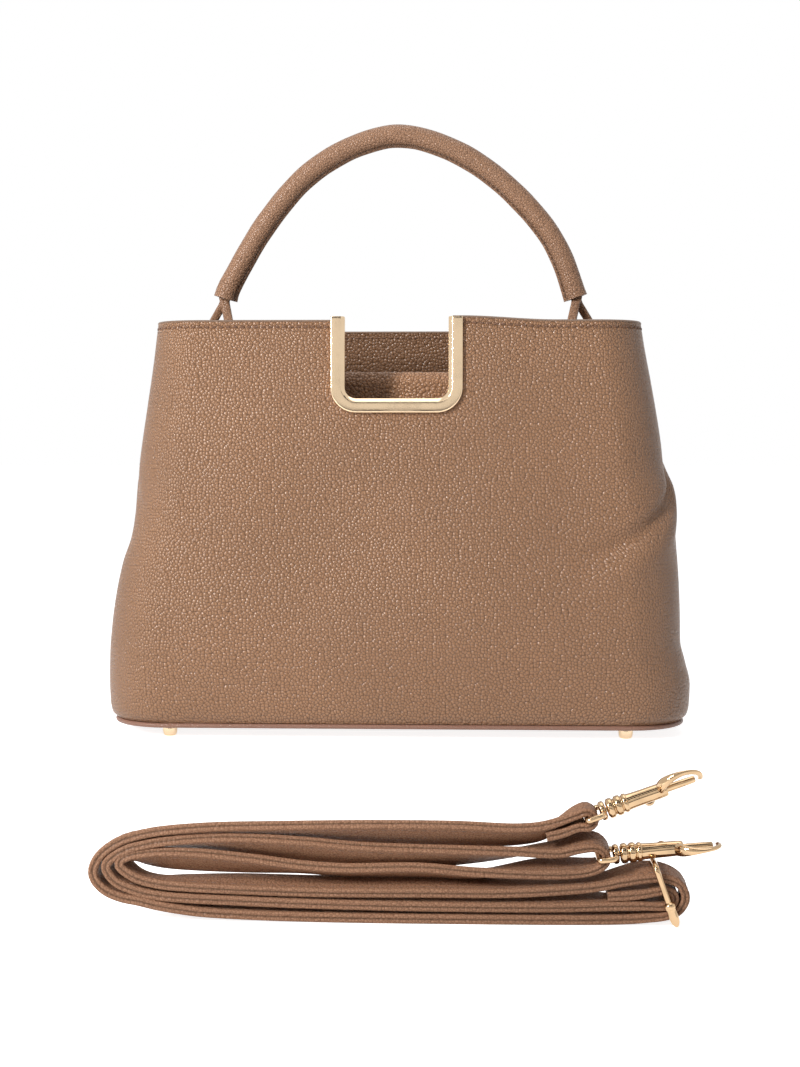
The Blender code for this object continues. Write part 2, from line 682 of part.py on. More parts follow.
def build_frame():
    origin, rise, out = front_plane()
    face = GAP + FRAME_PROUD
    section = [
        (0.0, -STACK), (FRAME_LIP, -STACK), (FRAME_LIP, GAP), (FRAME_BAND, GAP), (FRAME_BAND, face - 0.0008),
        (FRAME_BAND - 0.0008, face), (FRAME_CHAMFER, face), (0.0, face - FRAME_CHAMFER * 0.7),
    ]
    frame = u_frame("notch_frame", section, FRAME_STAND_UP, "gold")
    behind = -(STACK + GAP)
    plate_section = [
        (0.0002, behind - BACK_PLATE_WALL), (FRAME_BAND - 0.0005, behind - BACK_PLATE_WALL),
        (FRAME_BAND - 0.0005, behind), (0.0002, behind),
    ]
    plate = u_frame("frame_back_plate", plate_section, -GAP, "gold")
    holes = bpy.data.objects["screw_hole_cutter"]
    boolean(frame, holes, "DIFFERENCE")
    boolean(plate, holes, "DIFFERENCE")
    head = behind - BACK_PLATE_WALL - GAP
    tip = FRAME_PROUD / 2 - GAP
    for index, (u, v) in enumerate(screw_places(), start=1):
        seat = origin + Vector((u, 0.0, 0.0)) + v * rise + head * out
        profile = [
            (-SCREW_HEAD_HEIGHT, 0.0), (-SCREW_HEAD_HEIGHT, SCREW_HEAD_RADIUS * 0.75), (0.0, SCREW_HEAD_RADIUS),
            (0.0, SCREW_RADIUS), (tip - head, SCREW_RADIUS), (tip - head, 0.0),
        ]
        turned(f"frame_screw_{index}", profile, 8, axis_matrix(seat, out, rise), "zip_metal")


def full_plan(z, inset):
    """A whole rounded rectangle as points of (x, y)."""
    plan, _ = half_plan(z, inset, 0.0)
    front = [(x, BAG_Y - d) for x, d in plan]
    back = [(x, BAG_Y + d) for x, d in plan[::-1]]
    return np.array(front + back[1:-1])


def plate(name, z, wall, inset, finish):
    place = Matrix.Translation((0.0, 0.0, z))
    return extrude_outline(name, full_plan(SHELL_BOTTOM, inset), place, wall, finish)


def foot_places():
    x = BAG_WIDTH / 2 - FOOT_INSET_X
    y = BASE_DEPTH / 2 - FOOT_INSET_Y
    return {
        "front_left": (-x, BAG_Y - y),
        "front_right": (x, BAG_Y - y),
        "back_left": (-x, BAG_Y + y),
        "back_right": (x, BAG_Y + y),
    }


def build_base():
    edge = PIPING_RADIUS / 2
    panel = plate("base_panel", FOOT_HEIGHT, BASE_WALL, edge + PIPING_RADIUS + GAP, "leather")
    board = plate("base_board", BOARD_Z, BOARD_WALL, CORE_OFFSET, "board")
    plate("base_lining", BASE_LINING_Z, LINING_WALL, CORE_OFFSET, "lining")
    ring = full_plan(SHELL_BOTTOM, edge)
    height = FOOT_HEIGHT + PIPING_RADIUS + GAP
    path = np.column_stack([ring, np.full(len(ring), height)])
    normal, binormal = frames_along(path, (0.0, 0.0, 1.0), closed=True)
    sweep("base_piping", path, normal, binormal, circle(PIPING_RADIUS, 6), "piping_leather", closed=True)
    stem_top = BOARD_Z + BOARD_WALL
    head_top = FOOT_HEIGHT - GAP
    cutters = []
    for word, (x, y) in foot_places().items():
        place = axis_matrix((x, y, 0.0), (0.0, 0.0, 1.0), (0.0, -1.0, 0.0))
        profile = [
            (0.0, 0.0), (0.0, FOOT_FLAT_RADIUS), (FOOT_HEIGHT * 0.3, FOOT_RADIUS), (head_top, FOOT_RADIUS),
            (head_top, FOOT_STEM_RADIUS), (stem_top, FOOT_STEM_RADIUS), (stem_top, 0.0),
        ]
        turned("foot_" + word, profile, 12, place, "gold")
        radius = FOOT_STEM_RADIUS + GAP
        hole = [(0.0, 0.0), (0.0, radius), (2 * BASE_LINING_Z, radius), (2 * BASE_LINING_Z, 0.0)]
        cutters.append(turned("hole_" + word, hole, 8, place, None))
    holes = as_cutter(join_meshes("foot_hole_cutter", cutters))
    boolean(panel, holes, "DIFFERENCE")
    boolean(board, holes, "DIFFERENCE")


def pocket_half_depth(z):
    share = (z - POCKET_BOTTOM) / (POCKET_TOP - POCKET_BOTTOM)
    return (POCKET_BASE_DEPTH + (POCKET_TOP_DEPTH - POCKET_BASE_DEPTH) * share) / 2


def pocket_half_length(z):
    return side_reach(z) - CORE_OFFSET - FACING_WALL + LINING_WALL - POCKET_WALL - 2 * GAP


def pocket_wall_profile():
    """Outer and inner lines of a compartment wall as (distance from the middle, z), rolled over at its top."""
    outer = []
    inner = []
    roll = POCKET_TOP - POCKET_ROLL_RADIUS
    for z in [POCKET_BOTTOM] + [z for z in side_levels() if POCKET_BOTTOM + GAP < z < roll - GAP] + [roll]:
        outer.append((pocket_half_depth(z), z))
        inner.append((pocket_half_depth(z) - POCKET_WALL, z))
    centre = pocket_half_depth(roll) - POCKET_ROLL_RADIUS
    for angle in np.linspace(0.0, math.pi / 2, 5)[1:]:
        outer.append((centre + POCKET_ROLL_RADIUS * math.cos(angle), roll + POCKET_ROLL_RADIUS * math.sin(angle)))
        radius = POCKET_ROLL_RADIUS - POCKET_WALL
        inner.append((centre + radius * math.cos(angle), roll + radius * math.sin(angle)))
    outer.append((centre - POCKET_LIP, POCKET_TOP))
    inner.append((centre - POCKET_LIP, POCKET_TOP - POCKET_WALL))
    return outer, inner


def build_pocket():
    outer, inner = pocket_wall_profile()
    for word, facing in (("front", FRONT), ("back", BACK)):
        grids = []
        for line in (outer, inner):
            grid = np.zeros((len(line), 2, 3))
            for r, (distance, z) in enumerate(line):
                length = float(pocket_half_length(z))
                grid[r, 0] = (-length, BAG_Y + facing * distance, z)
                grid[r, 1] = (length, BAG_Y + facing * distance, z)
            grids.append(grid)
        slab("pocket_" + word + "_wall", grids[0], grids[1], "leather")
    top = zip_level() - ZIP_END_WALL - GAP
    levels = [POCKET_BOTTOM] + [z for z in side_levels() if POCKET_BOTTOM + GAP < z < top - GAP] + [top]
    for word, side in (("left", -1.0), ("right", 1.0)):
        grids = []
        for offset in (POCKET_WALL + GAP, GAP):
            grid = np.zeros((len(levels), 2, 3))
            for r, z in enumerate(levels):
                x = side * (float(pocket_half_length(z)) + offset)
                reach = pocket_half_depth(z)
                grid[r, 0] = (x, BAG_Y - reach, z)
                grid[r, 1] = (x, BAG_Y + reach, z)
            grids.append(grid)
        slab("pocket_" + word + "_end", grids[0], grids[1], "leather")


def zip_level():
    """Top of the zip tapes, just under the rolled lips of the compartment."""
    return POCKET_TOP - POCKET_WALL - GAP


def build_zip():
    top = zip_level()
    half = ZIP_LENGTH / 2
    edge = GAP / 2 + ZIP_TOOTH_WIDTH
    tooth_low = top - ZIP_TAPE_WALL / 2 - ZIP_TOOTH_HEIGHT / 2
    lip_edge = pocket_half_depth(POCKET_TOP - POCKET_ROLL_RADIUS) - POCKET_ROLL_RADIUS - POCKET_LIP
    for word, facing in (("front", FRONT), ("back", BACK)):
        tape = sorted((BAG_Y + facing * (edge + GAP), BAG_Y + facing * (lip_edge + ZIP_TAPE_TUCK)))
        length = half + ZIP_STOP_LENGTH
        box("zip_tape_" + word, (-length, tape[0], top - ZIP_TAPE_WALL), (length, tape[1], top), "zip_tape")
        teeth = sorted((BAG_Y + facing * GAP / 2, BAG_Y + facing * edge))
        box(
            "zip_teeth_" + word, (-half, teeth[0], tooth_low), (half, teeth[1], tooth_low + ZIP_TOOTH_HEIGHT), "zip_metal"
        )
    for word, side in (("left", -1.0), ("right", 1.0)):
        x = sorted((side * (half + GAP), side * (half + ZIP_STOP_LENGTH)))
        y = edge
        low = (x[0], BAG_Y - y, tooth_low)
        high = (x[1], BAG_Y + y, tooth_low + ZIP_TOOTH_HEIGHT)
        box("zip_stop_" + word, low, high, "zip_metal")
        x = sorted((side * (half + ZIP_STOP_LENGTH + GAP), side * (float(pocket_half_length(top)) - GAP)))
        low = (x[0], BAG_Y - lip_edge - ZIP_TAPE_TUCK, top - ZIP_END_WALL)
        box("zip_end_" + word, low, (x[1], BAG_Y + lip_edge + ZIP_TAPE_TUCK, top), "leather")
    build_slider(top, tooth_low)


def build_slider(top, tooth_low):
    """A plate above the teeth, pointed where the rows part, with a bridge for the pull."""
    x = -ZIP_LENGTH / 2 + SLIDER_LENGTH / 2 + GAP
    low = max(top, tooth_low + ZIP_TOOTH_HEIGHT) + GAP
    half_length = SLIDER_LENGTH / 2
    half_width = SLIDER_WIDTH / 2
    outline = [
        (-half_length, -half_width), (half_length * 0.4, -half_width), (half_length, -half_width * 0.55),
        (half_length, half_width * 0.55), (half_length * 0.4, half_width), (-half_length, half_width),
    ]
    plate = Matrix.Translation((x, BAG_Y, low))
    slider = extrude_outline("zip_slider", outline, plate, SLIDER_PLATE, "zip_metal")
    outer = BRIDGE_LENGTH / 2
    inner = outer - BRIDGE_WALL
    under = BRIDGE_HEIGHT - BRIDGE_WALL
    arch = [
        (-outer, -BRIDGE_ROOT), (-inner, -BRIDGE_ROOT), (-inner, under), (inner, under),
        (inner, -BRIDGE_ROOT), (outer, -BRIDGE_ROOT), (outer, BRIDGE_HEIGHT), (-outer, BRIDGE_HEIGHT),
    ]
    upright = Matrix.Rotation(math.pi / 2, 4, "X")
    seat = Matrix.Translation((x, BAG_Y + BRIDGE_WIDTH / 2, low + SLIDER_PLATE))
    boolean(slider, extrude_outline("slider_bridge_piece", arch, seat @ upright, BRIDGE_WIDTH, None), "UNION")
    build_pull(x, low + SLIDER_PLATE + GAP + PULL_PIN_RADIUS)


def build_pull(x, z):
    """A flat tab that lies towards +X. A window near its end leaves a pin under the slider's bridge."""
    pin = PULL_PIN_RADIUS
    tab = Matrix.Translation((x, BAG_Y, z - pin))
    pull = extrude_outline("zip_pull", rounded_tab(-pin, PULL_LENGTH, PULL_WIDTH / 2), tab, 2 * pin, "zip_metal")
    half = BRIDGE_WIDTH / 2 + 2 * GAP
    window = [(pin, -half), (PULL_WINDOW_LENGTH, -half), (PULL_WINDOW_LENGTH, half), (pin, half)]
    through = Matrix.Translation((x, BAG_Y, z - CUT_MARGIN))
    boolean(pull, extrude_outline("zip_pull_window", window, through, 2 * CUT_MARGIN, None), "DIFFERENCE")
    set_origin(pull, (x, BAG_Y, z))


def rounded_tab(start, end, half):
    """An outline along +X with a half-round end."""
    outline = [(start, half), (start, -half)]
    for angle in np.linspace(-math.pi / 2, math.pi / 2, 9):
        outline.append((end - half + half * math.cos(angle), half * math.sin(angle)))
    return outline


def handle_path(count):
    """The middle line of the handle's arch, from its left end to its right one."""
    arch = np.array(HANDLE_ARCH)
    x = HANDLE_HALF_WIDTH * arch[:, 0]
    z = HANDLE_BOTTOM + (HANDLE_TOP - HANDLE_BOTTOM) * arch[:, 1]
    return spline(np.stack([x, np.full(len(x), BAG_Y), z], axis=1), count)


def build_handle():
    path = handle_path(27)
    normal, binormal = frames_along(path, (0.0, 1.0, 0.0))
    sides = 10
    inner = HANDLE_RADIUS - HANDLE_COVER_WALL
    count = len(path)
    outer_ring = circle(HANDLE_RADIUS, sides)
    inner_ring = circle(inner, sides)
    faces = []
    points = []
    for ring in (outer_ring, inner_ring):
        for p, n, b in zip(path, normal, binormal):
            points += [p + n * u + b * v for u, v in ring]
    shift = count * sides
    for r in range(count - 1):
        for s in range(sides):
            t = (s + 1) % sides
            quad = (r * sides + s, r * sides + t, (r + 1) * sides + t, (r + 1) * sides + s)
            faces.append(quad)
            faces.append(tuple(shift + i for i in reversed(quad)))
    for r in (0, count - 1):
        for s in range(sides):
            t = (s + 1) % sides
            faces.append((r * sides + s, r * sides + t, shift + r * sides + t, shift + r * sides + s))
    mesh = mesh_from("handle_cover", points, faces)
    smooth(mesh)
    add_object("handle_cover", mesh, "handle_leather", origin=(0.0, BAG_Y, handle_axis_height()))
    core = circle(inner - GAP, 8)
    rod = sweep("handle_core", path[1:-1], normal[1:-1], binormal[1:-1], core, None)
    mesh = rod.data
    bpy.data.objects.remove(rod, do_unlink=True)
    add_object("handle_core", mesh, "cord_core", origin=(0.0, BAG_Y, handle_axis_height()))


def handle_axis_height():
    """The handle bends where its legs are free, halfway between the compartment's top and the tube's ends."""
    return (POCKET_TOP + HANDLE_BOTTOM) / 2


def build_legs():
    clear = LEG_WALL / 2 + GAP
    for side_word, side in (("left", -1.0), ("right", 1.0)):
        for word, facing in (("front", FRONT), ("back", BACK)):
            spread = LEG_SPREAD if facing == BACK else -LEG_SPREAD * 0.5
            top = HANDLE_BOTTOM - 2 * GAP
            roll = POCKET_TOP - POCKET_ROLL_RADIUS
            sewn = roll - LEG_SEWN_LENGTH
            lower = pocket_half_depth(sewn) + clear + GAP
            upper = pocket_half_depth(roll - LEG_END) + clear + GAP
            free = top - roll
            route = [
                (0.0, clear, top), (0.25, clear + LEG_BOW, top - LEG_END),
                (0.90, (clear + upper) * 0.45, top - free * 0.38), (1.0, upper * 0.86, top - free * 0.68),
                (1.0, upper + LEG_BOW, roll + LEG_END / 2), (1.0, upper, roll - LEG_END), (1.0, lower, sewn),
            ]
            path = []
            for share, distance, z in route:
                path.append((side * (HANDLE_HALF_WIDTH + spread * share), BAG_Y + facing * distance, z))
            path = spline(path, 9)
            normal, binormal = frames_along(path, (1.0, 0.0, 0.0))
            name = "handle_leg_" + word + "_" + side_word
            sweep(name, path, normal, binormal, rectangle(LEG_WALL, LEG_WIDTH), "handle_leather")


def ring_path(length, half_width_inside, wire, near, far):
    """A rounded rectangle of (along, across), its bar at along = 0 and its far side at along = length.

    Near is the radius of the two corners beside the bar, far that of the other two.
    """
    half = half_width_inside + wire
    points = []
    corners = (
        (length - far, half - far, 0.0, far), (near, half - near, 0.5 * math.pi, near),
        (near, near - half, math.pi, near), (length - far, far - half, 1.5 * math.pi, far),
    )
    for along, across, start, corner in corners:
        for angle in np.linspace(start, start + math.pi / 2, 4):
            points.append((along + corner * math.cos(angle), across + corner * math.sin(angle)))
    return np.array(points)


def wire_ring(name, place, length, inside, wire, corners, finish, extra=None):
    """A bent wire ring whose bar lies on the Y axis of its place."""
    flat = ring_path(length, inside / 2, wire, *corners)
    path = np.column_stack([flat, np.zeros(len(flat))])
    normal, binormal = frames_along(path, (0.0, 0.0, 1.0), closed=True)
    ring = sweep(name, path, normal, binormal, circle(wire, 6), finish, closed=True)
    ring.data.transform(place)
    if extra:
        boolean(ring, extra, "UNION")
    return ring


def d_ring_reach():
    """Distance of a D-ring's bar from the middle, set from the compartment's end."""
    return float(pocket_half_length(POCKET_TOP)) - D_RING_INSET


def build_d_rings():
    low = zip_level() + GAP
    bar_z = low + D_RING_WIRE
    inner = D_RING_WIRE + GAP
    outer = inner + D_RING_TAB_WALL
    for word, side in (("left", -1.0), ("right", 1.0)):
        x = side * d_ring_reach()
        place = axis_matrix((x, BAG_Y, bar_z), (side, 0.0, 0.0), (0.0, 0.0, 1.0))
        inside = D_RING_WIDTH - 2 * D_RING_WIRE
        ring = wire_ring("d_ring_" + word, place, D_RING_LENGTH, inside, D_RING_WIRE, D_RING_CORNERS, "gold")
        set_origin(ring, (x, BAG_Y, bar_z))
        outline = [(-side * (outer + D_RING_TAB_FLANGE), low), (-side * inner, low)]
        for angle in np.linspace(math.pi, 0.0, 7):
            outline.append((side * inner * math.cos(angle), bar_z + inner * math.sin(angle)))
        outline += [(side * inner, low), (side * outer, low)]
        for angle in np.linspace(0.0, math.pi, 7):
            outline.append((side * outer * math.cos(angle), bar_z + outer * math.sin(angle)))
        outline += [(-side * outer, low + D_RING_TAB_WALL), (-side * (outer + D_RING_TAB_FLANGE), low + D_RING_TAB_WALL)]
        turn = Matrix.Rotation(math.pi / 2, 4, "X")
        seat = Matrix.Translation((x, BAG_Y + D_RING_TAB_WIDTH / 2, 0.0))
        extrude_outline("d_ring_tab_" + word, outline, seat @ turn, D_RING_TAB_WIDTH, "leather")


def strap_path():
    """Points of the strap's middle line with its lean, in radians, as a fourth column."""
    light = 1e-4
    route = [(x + STRAP_SHIFT, STRAP_Y, z, light * math.radians(lean)) for x, z, lean in STRAP_ROUTE]
    path = resample_by_bend(spline(route, None), STRAP_STEP, STRAP_TURN_STEP)
    path[:, 3] /= light
    return path


def build_strap():
    """A flat band that leans back about its front edge, which stays on the route."""
    path = strap_path()
    lean = path[:, 3:]
    normal, across = frames_along(path[:, :3], (0.0, 1.0, 0.0))
    leaning_across = across * np.cos(lean) - normal * np.sin(lean)
    leaning_normal = normal * np.cos(lean) + across * np.sin(lean)
    width = STRAP_WIDTH - 2 * RING_CLEARANCE
    middle = path[:, :3] + (leaning_across - across) * width / 2
    sweep("strap", middle, leaning_normal, leaning_across, rectangle(STRAP_WALL, width), "strap_leather")


def hook_matrix(bar, lean, roll):
    """Carries the hook's own axes to the set: +X away from the strap, +Y across it, +Z towards its opening."""
    along = (math.cos(lean), 0.0, math.sin(lean))
    place = axis_matrix((bar[0] + STRAP_SHIFT, STRAP_Y, bar[1]), along, (0.0, 0.0, 1.0))
    return place @ Matrix.Rotation(roll, 4, "X")


def build_hook(letter, bar, lean, roll):
    fixed = hook_matrix(bar, lean, 0.0)
    place = hook_matrix(bar, lean, roll)
    name = "hook_" + letter
    head = HOOK_NECK + GAP
    stem = [
        (HOOK_BOSS[0][0], 0.0), *HOOK_BOSS, (HOOK_BOSS[-1][0], HOOK_STEM_RADIUS), (head, HOOK_STEM_RADIUS),
        (head, HOOK_HEAD_RADIUS), (head + HOOK_HEAD_LENGTH, HOOK_HEAD_RADIUS), (head + HOOK_HEAD_LENGTH, 0.0),
    ]
    stem_piece = turned(name + "_stem_piece", stem, 8, fixed, None)
    inside = STRAP_WIDTH + 2 * RING_CLEARANCE
    eye = wire_ring(
        name + "_eye", fixed, HOOK_EYE_LENGTH, inside, RING_WIRE, RING_CORNERS, "gold", extra=stem_piece
    )
    front = HOOK_TUBE_PROFILE[-1][0]
    back = HOOK_TUBE_PROFILE[0][0]
    inner = [
        (front, HOOK_BORE_RADIUS), (HOOK_NECK, HOOK_BORE_RADIUS), (HOOK_NECK, HOOK_NECK_RADIUS),
        (back, HOOK_NECK_RADIUS),
    ]
    body = turned(name + "_body", list(HOOK_TUBE_PROFILE) + inner, 12, place, "gold")
    claw_path = np.array([(u, 0.0, v) for u, v in HOOK_CLAW])
    claw_path = spline(claw_path, 12)
    normal, binormal = frames_along(claw_path, (0.0, 1.0, 0.0))
    claw = sweep(name + "_claw_piece", claw_path, normal, binormal, circle(HOOK_WIRE, 8), None)
    claw.data.transform(place)
    inside_tube = (HOOK_NECK + HOOK_TUBE_PROFILE[-1][0]) / 2
    bore_clear = [
        (inside_tube, 0.0), (inside_tube, HOOK_BORE_RADIUS), (HOOK_TIP, HOOK_BORE_RADIUS), (HOOK_TIP, 0.0)
    ]
    bore = turned(name + "_bore_space", bore_clear, 12, place, None)
    boolean(claw, as_cutter(bore), "DIFFERENCE")
    boolean(body, claw, "UNION")
    width = 2 * (HOOK_STUD_RADIUS + GAP)
    slot = box(
        name + "_slot_space",
        (HOOK_STUD - HOOK_TRAVEL - HOOK_STUD_RADIUS - 2 * GAP, -width / 2, -2 * HOOK_TUBE_RADIUS),
        (HOOK_STUD + HOOK_STUD_RADIUS + GAP, width / 2, -HOOK_BOLT_RADIUS / 2),
        None,
    )
    slot.data.transform(place)
    boolean(body, as_cutter(slot), "DIFFERENCE")
    bolt = build_bolt(name, place)
    spring = build_spring(name, place)
    for piece in (eye, body, bolt, spring):
        set_origin(piece, (bar[0] + STRAP_SHIFT, STRAP_Y, bar[1]))


def build_bolt(name, place):
    """A rod with a thumb stud that reaches out through the tube's slot."""
    rod = [
        (HOOK_BOLT_START, 0.0), (HOOK_BOLT_START, HOOK_BOLT_RADIUS), (HOOK_TIP, HOOK_BOLT_RADIUS), (HOOK_TIP, 0.0)
    ]
    bolt = turned(name + "_bolt", rod, 10, place, "gold")
    knob_top = HOOK_TUBE_RADIUS + 2 * GAP
    knob = [
        (0.0, 0.0), (0.0, HOOK_STUD_RADIUS), (knob_top, HOOK_STUD_RADIUS), (knob_top, HOOK_KNOB_RADIUS),
        (knob_top + HOOK_KNOB_HEIGHT * 0.7, HOOK_KNOB_RADIUS),
        (knob_top + HOOK_KNOB_HEIGHT, HOOK_KNOB_RADIUS * 0.6), (knob_top + HOOK_KNOB_HEIGHT, 0.0),
    ]
    down = axis_matrix((HOOK_STUD, 0.0, 0.0), (0.0, 0.0, -1.0), (1.0, 0.0, 0.0))
    stud = turned(name + "_stud_piece", knob, 8, place @ down, None)
    return boolean(bolt, stud, "UNION")


def build_spring(name, place):
    """Open turns of wire between the eye's head and the bolt."""
    radius = HOOK_BORE_RADIUS - SPRING_WIRE - SPRING_FIT
    start = HOOK_NECK + GAP + HOOK_HEAD_LENGTH + GAP + SPRING_WIRE
    end = HOOK_BOLT_START - GAP - SPRING_WIRE
    count = int(8 * SPRING_TURNS) + 1
    share = np.linspace(0.0, 1.0, count)
    angle = share * SPRING_TURNS * 2 * math.pi
    path = np.stack([start + (end - start) * share, radius * np.cos(angle), radius * np.sin(angle)], axis=1)
    radial = np.stack([np.zeros(count), np.cos(angle), np.sin(angle)], axis=1)
    tangent = np.gradient(path, axis=0)
    tangent /= np.linalg.norm(tangent, axis=1)[:, None]
    across = np.cross(tangent, radial)
    spring = sweep(name + "_spring", path, radial, across, circle(SPRING_WIRE, 5), "spring_steel")
    spring.data.transform(place)
    return spring


def build_buckle():
    """A frame that stands across the strap with a middle bar that holds the strap's sewn end."""
    length = BUCKLE_LOWER_WINDOW + BUCKLE_UPPER_WINDOW
    up = (-math.sin(BUCKLE_LEAN), 0.0, math.cos(BUCKLE_LEAN))
    bar = Vector((BUCKLE_BAR[0] + STRAP_SHIFT, STRAP_Y, BUCKLE_BAR[1]))
    foot = bar - BUCKLE_LOWER_WINDOW * Vector(up)
    place = axis_matrix(foot, up, (1.0, 0.0, 0.0))
    inside = STRAP_WIDTH + 2 * RING_CLEARANCE
    across = inside / 2 + RING_WIRE
    pin = [(-across, 0.0), (-across, RING_WIRE), (across, RING_WIRE), (across, 0.0)]
    crossbar = turned("buckle_bar_piece", pin, 8, axis_matrix(bar, (0.0, 1.0, 0.0), up), None)
    wire_ring("strap_buckle", place, length, inside, RING_WIRE, RING_CORNERS, "gold", extra=crossbar)


def build_all():
    clear_scene()
    build_shell()
    build_frame()
    build_base()
    build_pocket()
    build_zip()
    build_handle()
    build_legs()
    build_d_rings()
    build_strap()
    build_hook("a", HOOK_A_BAR, HOOK_A_LEAN, HOOK_A_ROLL)
    build_hook("b", HOOK_B_BAR, HOOK_B_LEAN, HOOK_B_ROLL)
    build_buckle()


build_all()
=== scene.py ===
# %% [markdown]
# # A pebbled leather bag with a rolled handle, and its folded shoulder strap
#
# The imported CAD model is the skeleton: it says where each part is and how it moves. Here every part gets the
# shape and finish that the eye sees. Each cell explains one step, then makes one or a few pieces.

# %% Load the skeleton
import json
import math

import bmesh
import bpy
import numpy as np
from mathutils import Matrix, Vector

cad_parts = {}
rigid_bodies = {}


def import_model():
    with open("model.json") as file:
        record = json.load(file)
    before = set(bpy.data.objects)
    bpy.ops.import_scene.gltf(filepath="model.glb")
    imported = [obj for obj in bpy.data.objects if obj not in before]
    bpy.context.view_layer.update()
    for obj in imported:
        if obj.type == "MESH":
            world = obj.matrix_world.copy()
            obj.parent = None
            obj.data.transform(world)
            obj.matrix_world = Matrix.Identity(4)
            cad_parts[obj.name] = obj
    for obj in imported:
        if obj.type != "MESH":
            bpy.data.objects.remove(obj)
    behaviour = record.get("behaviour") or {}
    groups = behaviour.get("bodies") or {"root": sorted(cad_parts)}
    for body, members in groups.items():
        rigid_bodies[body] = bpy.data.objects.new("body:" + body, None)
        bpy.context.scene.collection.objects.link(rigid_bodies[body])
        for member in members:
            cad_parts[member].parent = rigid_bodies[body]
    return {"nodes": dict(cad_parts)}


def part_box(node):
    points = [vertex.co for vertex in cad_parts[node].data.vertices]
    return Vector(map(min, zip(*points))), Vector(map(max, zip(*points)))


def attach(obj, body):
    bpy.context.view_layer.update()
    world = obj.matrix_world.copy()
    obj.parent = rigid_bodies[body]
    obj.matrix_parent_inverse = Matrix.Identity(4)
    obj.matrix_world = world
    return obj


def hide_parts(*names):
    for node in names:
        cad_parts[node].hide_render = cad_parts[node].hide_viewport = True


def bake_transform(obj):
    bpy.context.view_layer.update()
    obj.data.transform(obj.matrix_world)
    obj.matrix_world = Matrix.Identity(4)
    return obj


for leftover in list(bpy.data.objects):
    bpy.data.objects.remove(leftover)
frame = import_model()
bpy.context.view_layer.update()

# %% [markdown]
# ## Sizes
#
# All sizes are in metres. They are the ones that the CAD model was built from, so that a piece lands where its
# solid is. The two width tables are new: a soft bag never stands the same on its left and on its right.

# %% Sizes of the bag
ROOT = "bag_and_strap"
X_AXIS, Y_AXIS, Z_AXIS = (1.0, 0.0, 0.0), (0.0, 1.0, 0.0), (0.0, 0.0, 1.0)
FRONT, BACK = -1.0, 1.0
FACINGS = (("front", FRONT), ("back", BACK))
ENDS = (("left", -1.0), ("right", 1.0))
GAP = 0.0003
BAG_Y = 0.18405
RIM_HEIGHT = 0.2375
SHELL_BOTTOM = 0.0094
SHELL_HEIGHT = RIM_HEIGHT - SHELL_BOTTOM
SIDE_RIM_DROP = 0.012
BACK_RIM_DROP = 0.002
PANEL_WALL = 0.0024
FACING_WALL = 0.0012
LINING_WALL = 0.0010
STACK = PANEL_WALL + GAP + FACING_WALL
LINING_OFFSET = PANEL_WALL + GAP
CORE_OFFSET = LINING_OFFSET + LINING_WALL + GAP
TOP_DEPTH = 0.100
BASE_DEPTH = 0.130
BASE_CORNER = 0.033
TOP_CORNER = 0.028
LEFT_WIDTH = (
    (0.0, 0.1651), (0.013, 0.1673), (0.035, 0.1681), (0.088, 0.1684), (0.16, 0.1680), (0.228, 0.1668),
    (0.306, 0.1645), (0.395, 0.1604), (0.459, 0.1556), (0.536, 0.1526), (0.60, 0.1517), (0.641, 0.1509),
    (0.797, 0.1460), (0.902, 0.1426), (1.0, 0.1400),
)
RIGHT_WIDTH = (
    (0.0, 0.1653), (0.013, 0.1676), (0.035, 0.1686), (0.088, 0.1690), (0.148, 0.1660), (0.20, 0.1632),
    (0.257, 0.1630), (0.354, 0.1622), (0.454, 0.1606), (0.52, 0.1596), (0.56, 0.1586), (0.59, 0.1572),
    (0.62, 0.1548), (0.65, 0.1532), (0.70, 0.1518), (0.757, 0.1498), (0.851, 0.1460), (0.943, 0.1420),
    (1.0, 0.1400),
)
DEPTH_SWELL = (
    (0.0, 0.74), (0.013, 0.89), (0.035, 0.96), (0.088, 1.0), (0.16, 1.0), (0.25, 0.93), (0.33, 0.83),
    (0.41, 0.68), (0.475, 0.5565), (1.0, 0.0),
)
print("shell height", SHELL_HEIGHT)

# %% [markdown]
# ## Camera, floor and light
#
# The photograph looks at the bag from a little above its middle and a little from the right, with a long lens.
# The camera is set from measurements: its height, its distance, and where the middle of the bag falls.
# The floor and the world are pale; for the camera, and in reflections, the floor glows a little, so that it
# is white while the shadow of the bag still shows on it.

# %% Camera
CAMERA_PLACE = (0.040, -0.881, 0.1825)
FOCAL_PIXELS = 1786
HORIZON_PIXELS = 115
PHOTO_PIXELS = 800
SENSOR = 36.0
CAMERA_PITCH = math.atan(HORIZON_PIXELS / FOCAL_PIXELS)
CAMERA_YAW = math.atan(CAMERA_PLACE[0] / (BAG_Y - CAMERA_PLACE[1]))
scene = bpy.context.scene
lens = bpy.data.cameras.new("product_camera")
lens.sensor_fit = "HORIZONTAL"
lens.sensor_width = SENSOR
lens.lens = SENSOR * FOCAL_PIXELS / PHOTO_PIXELS
camera = bpy.data.objects.new("product_camera", lens)
scene.collection.objects.link(camera)
camera.location = CAMERA_PLACE
camera.rotation_euler = (math.pi / 2 - CAMERA_PITCH, 0.0, CAMERA_YAW)
scene.camera = camera
scene.view_settings.view_transform = "Standard"
print("camera pitch", round(math.degrees(CAMERA_PITCH), 2), "yaw", round(math.degrees(CAMERA_YAW), 2))

# %% [markdown]
# ## Surfaces from arrays
#
# Every new piece is a grid of points worked out with numpy, a function of two parameters. These helpers turn
# grids into faces, close them, and make the Blender object. Points that fall together, as at a pole, are
# merged, and the faces are turned outwards.

# %% Grids to faces
def columns_of(*values):
    """Numbers side by side, as the coordinates of points; one that is single or smaller is repeated."""
    return np.stack(np.broadcast_arrays(*values), axis=-1)


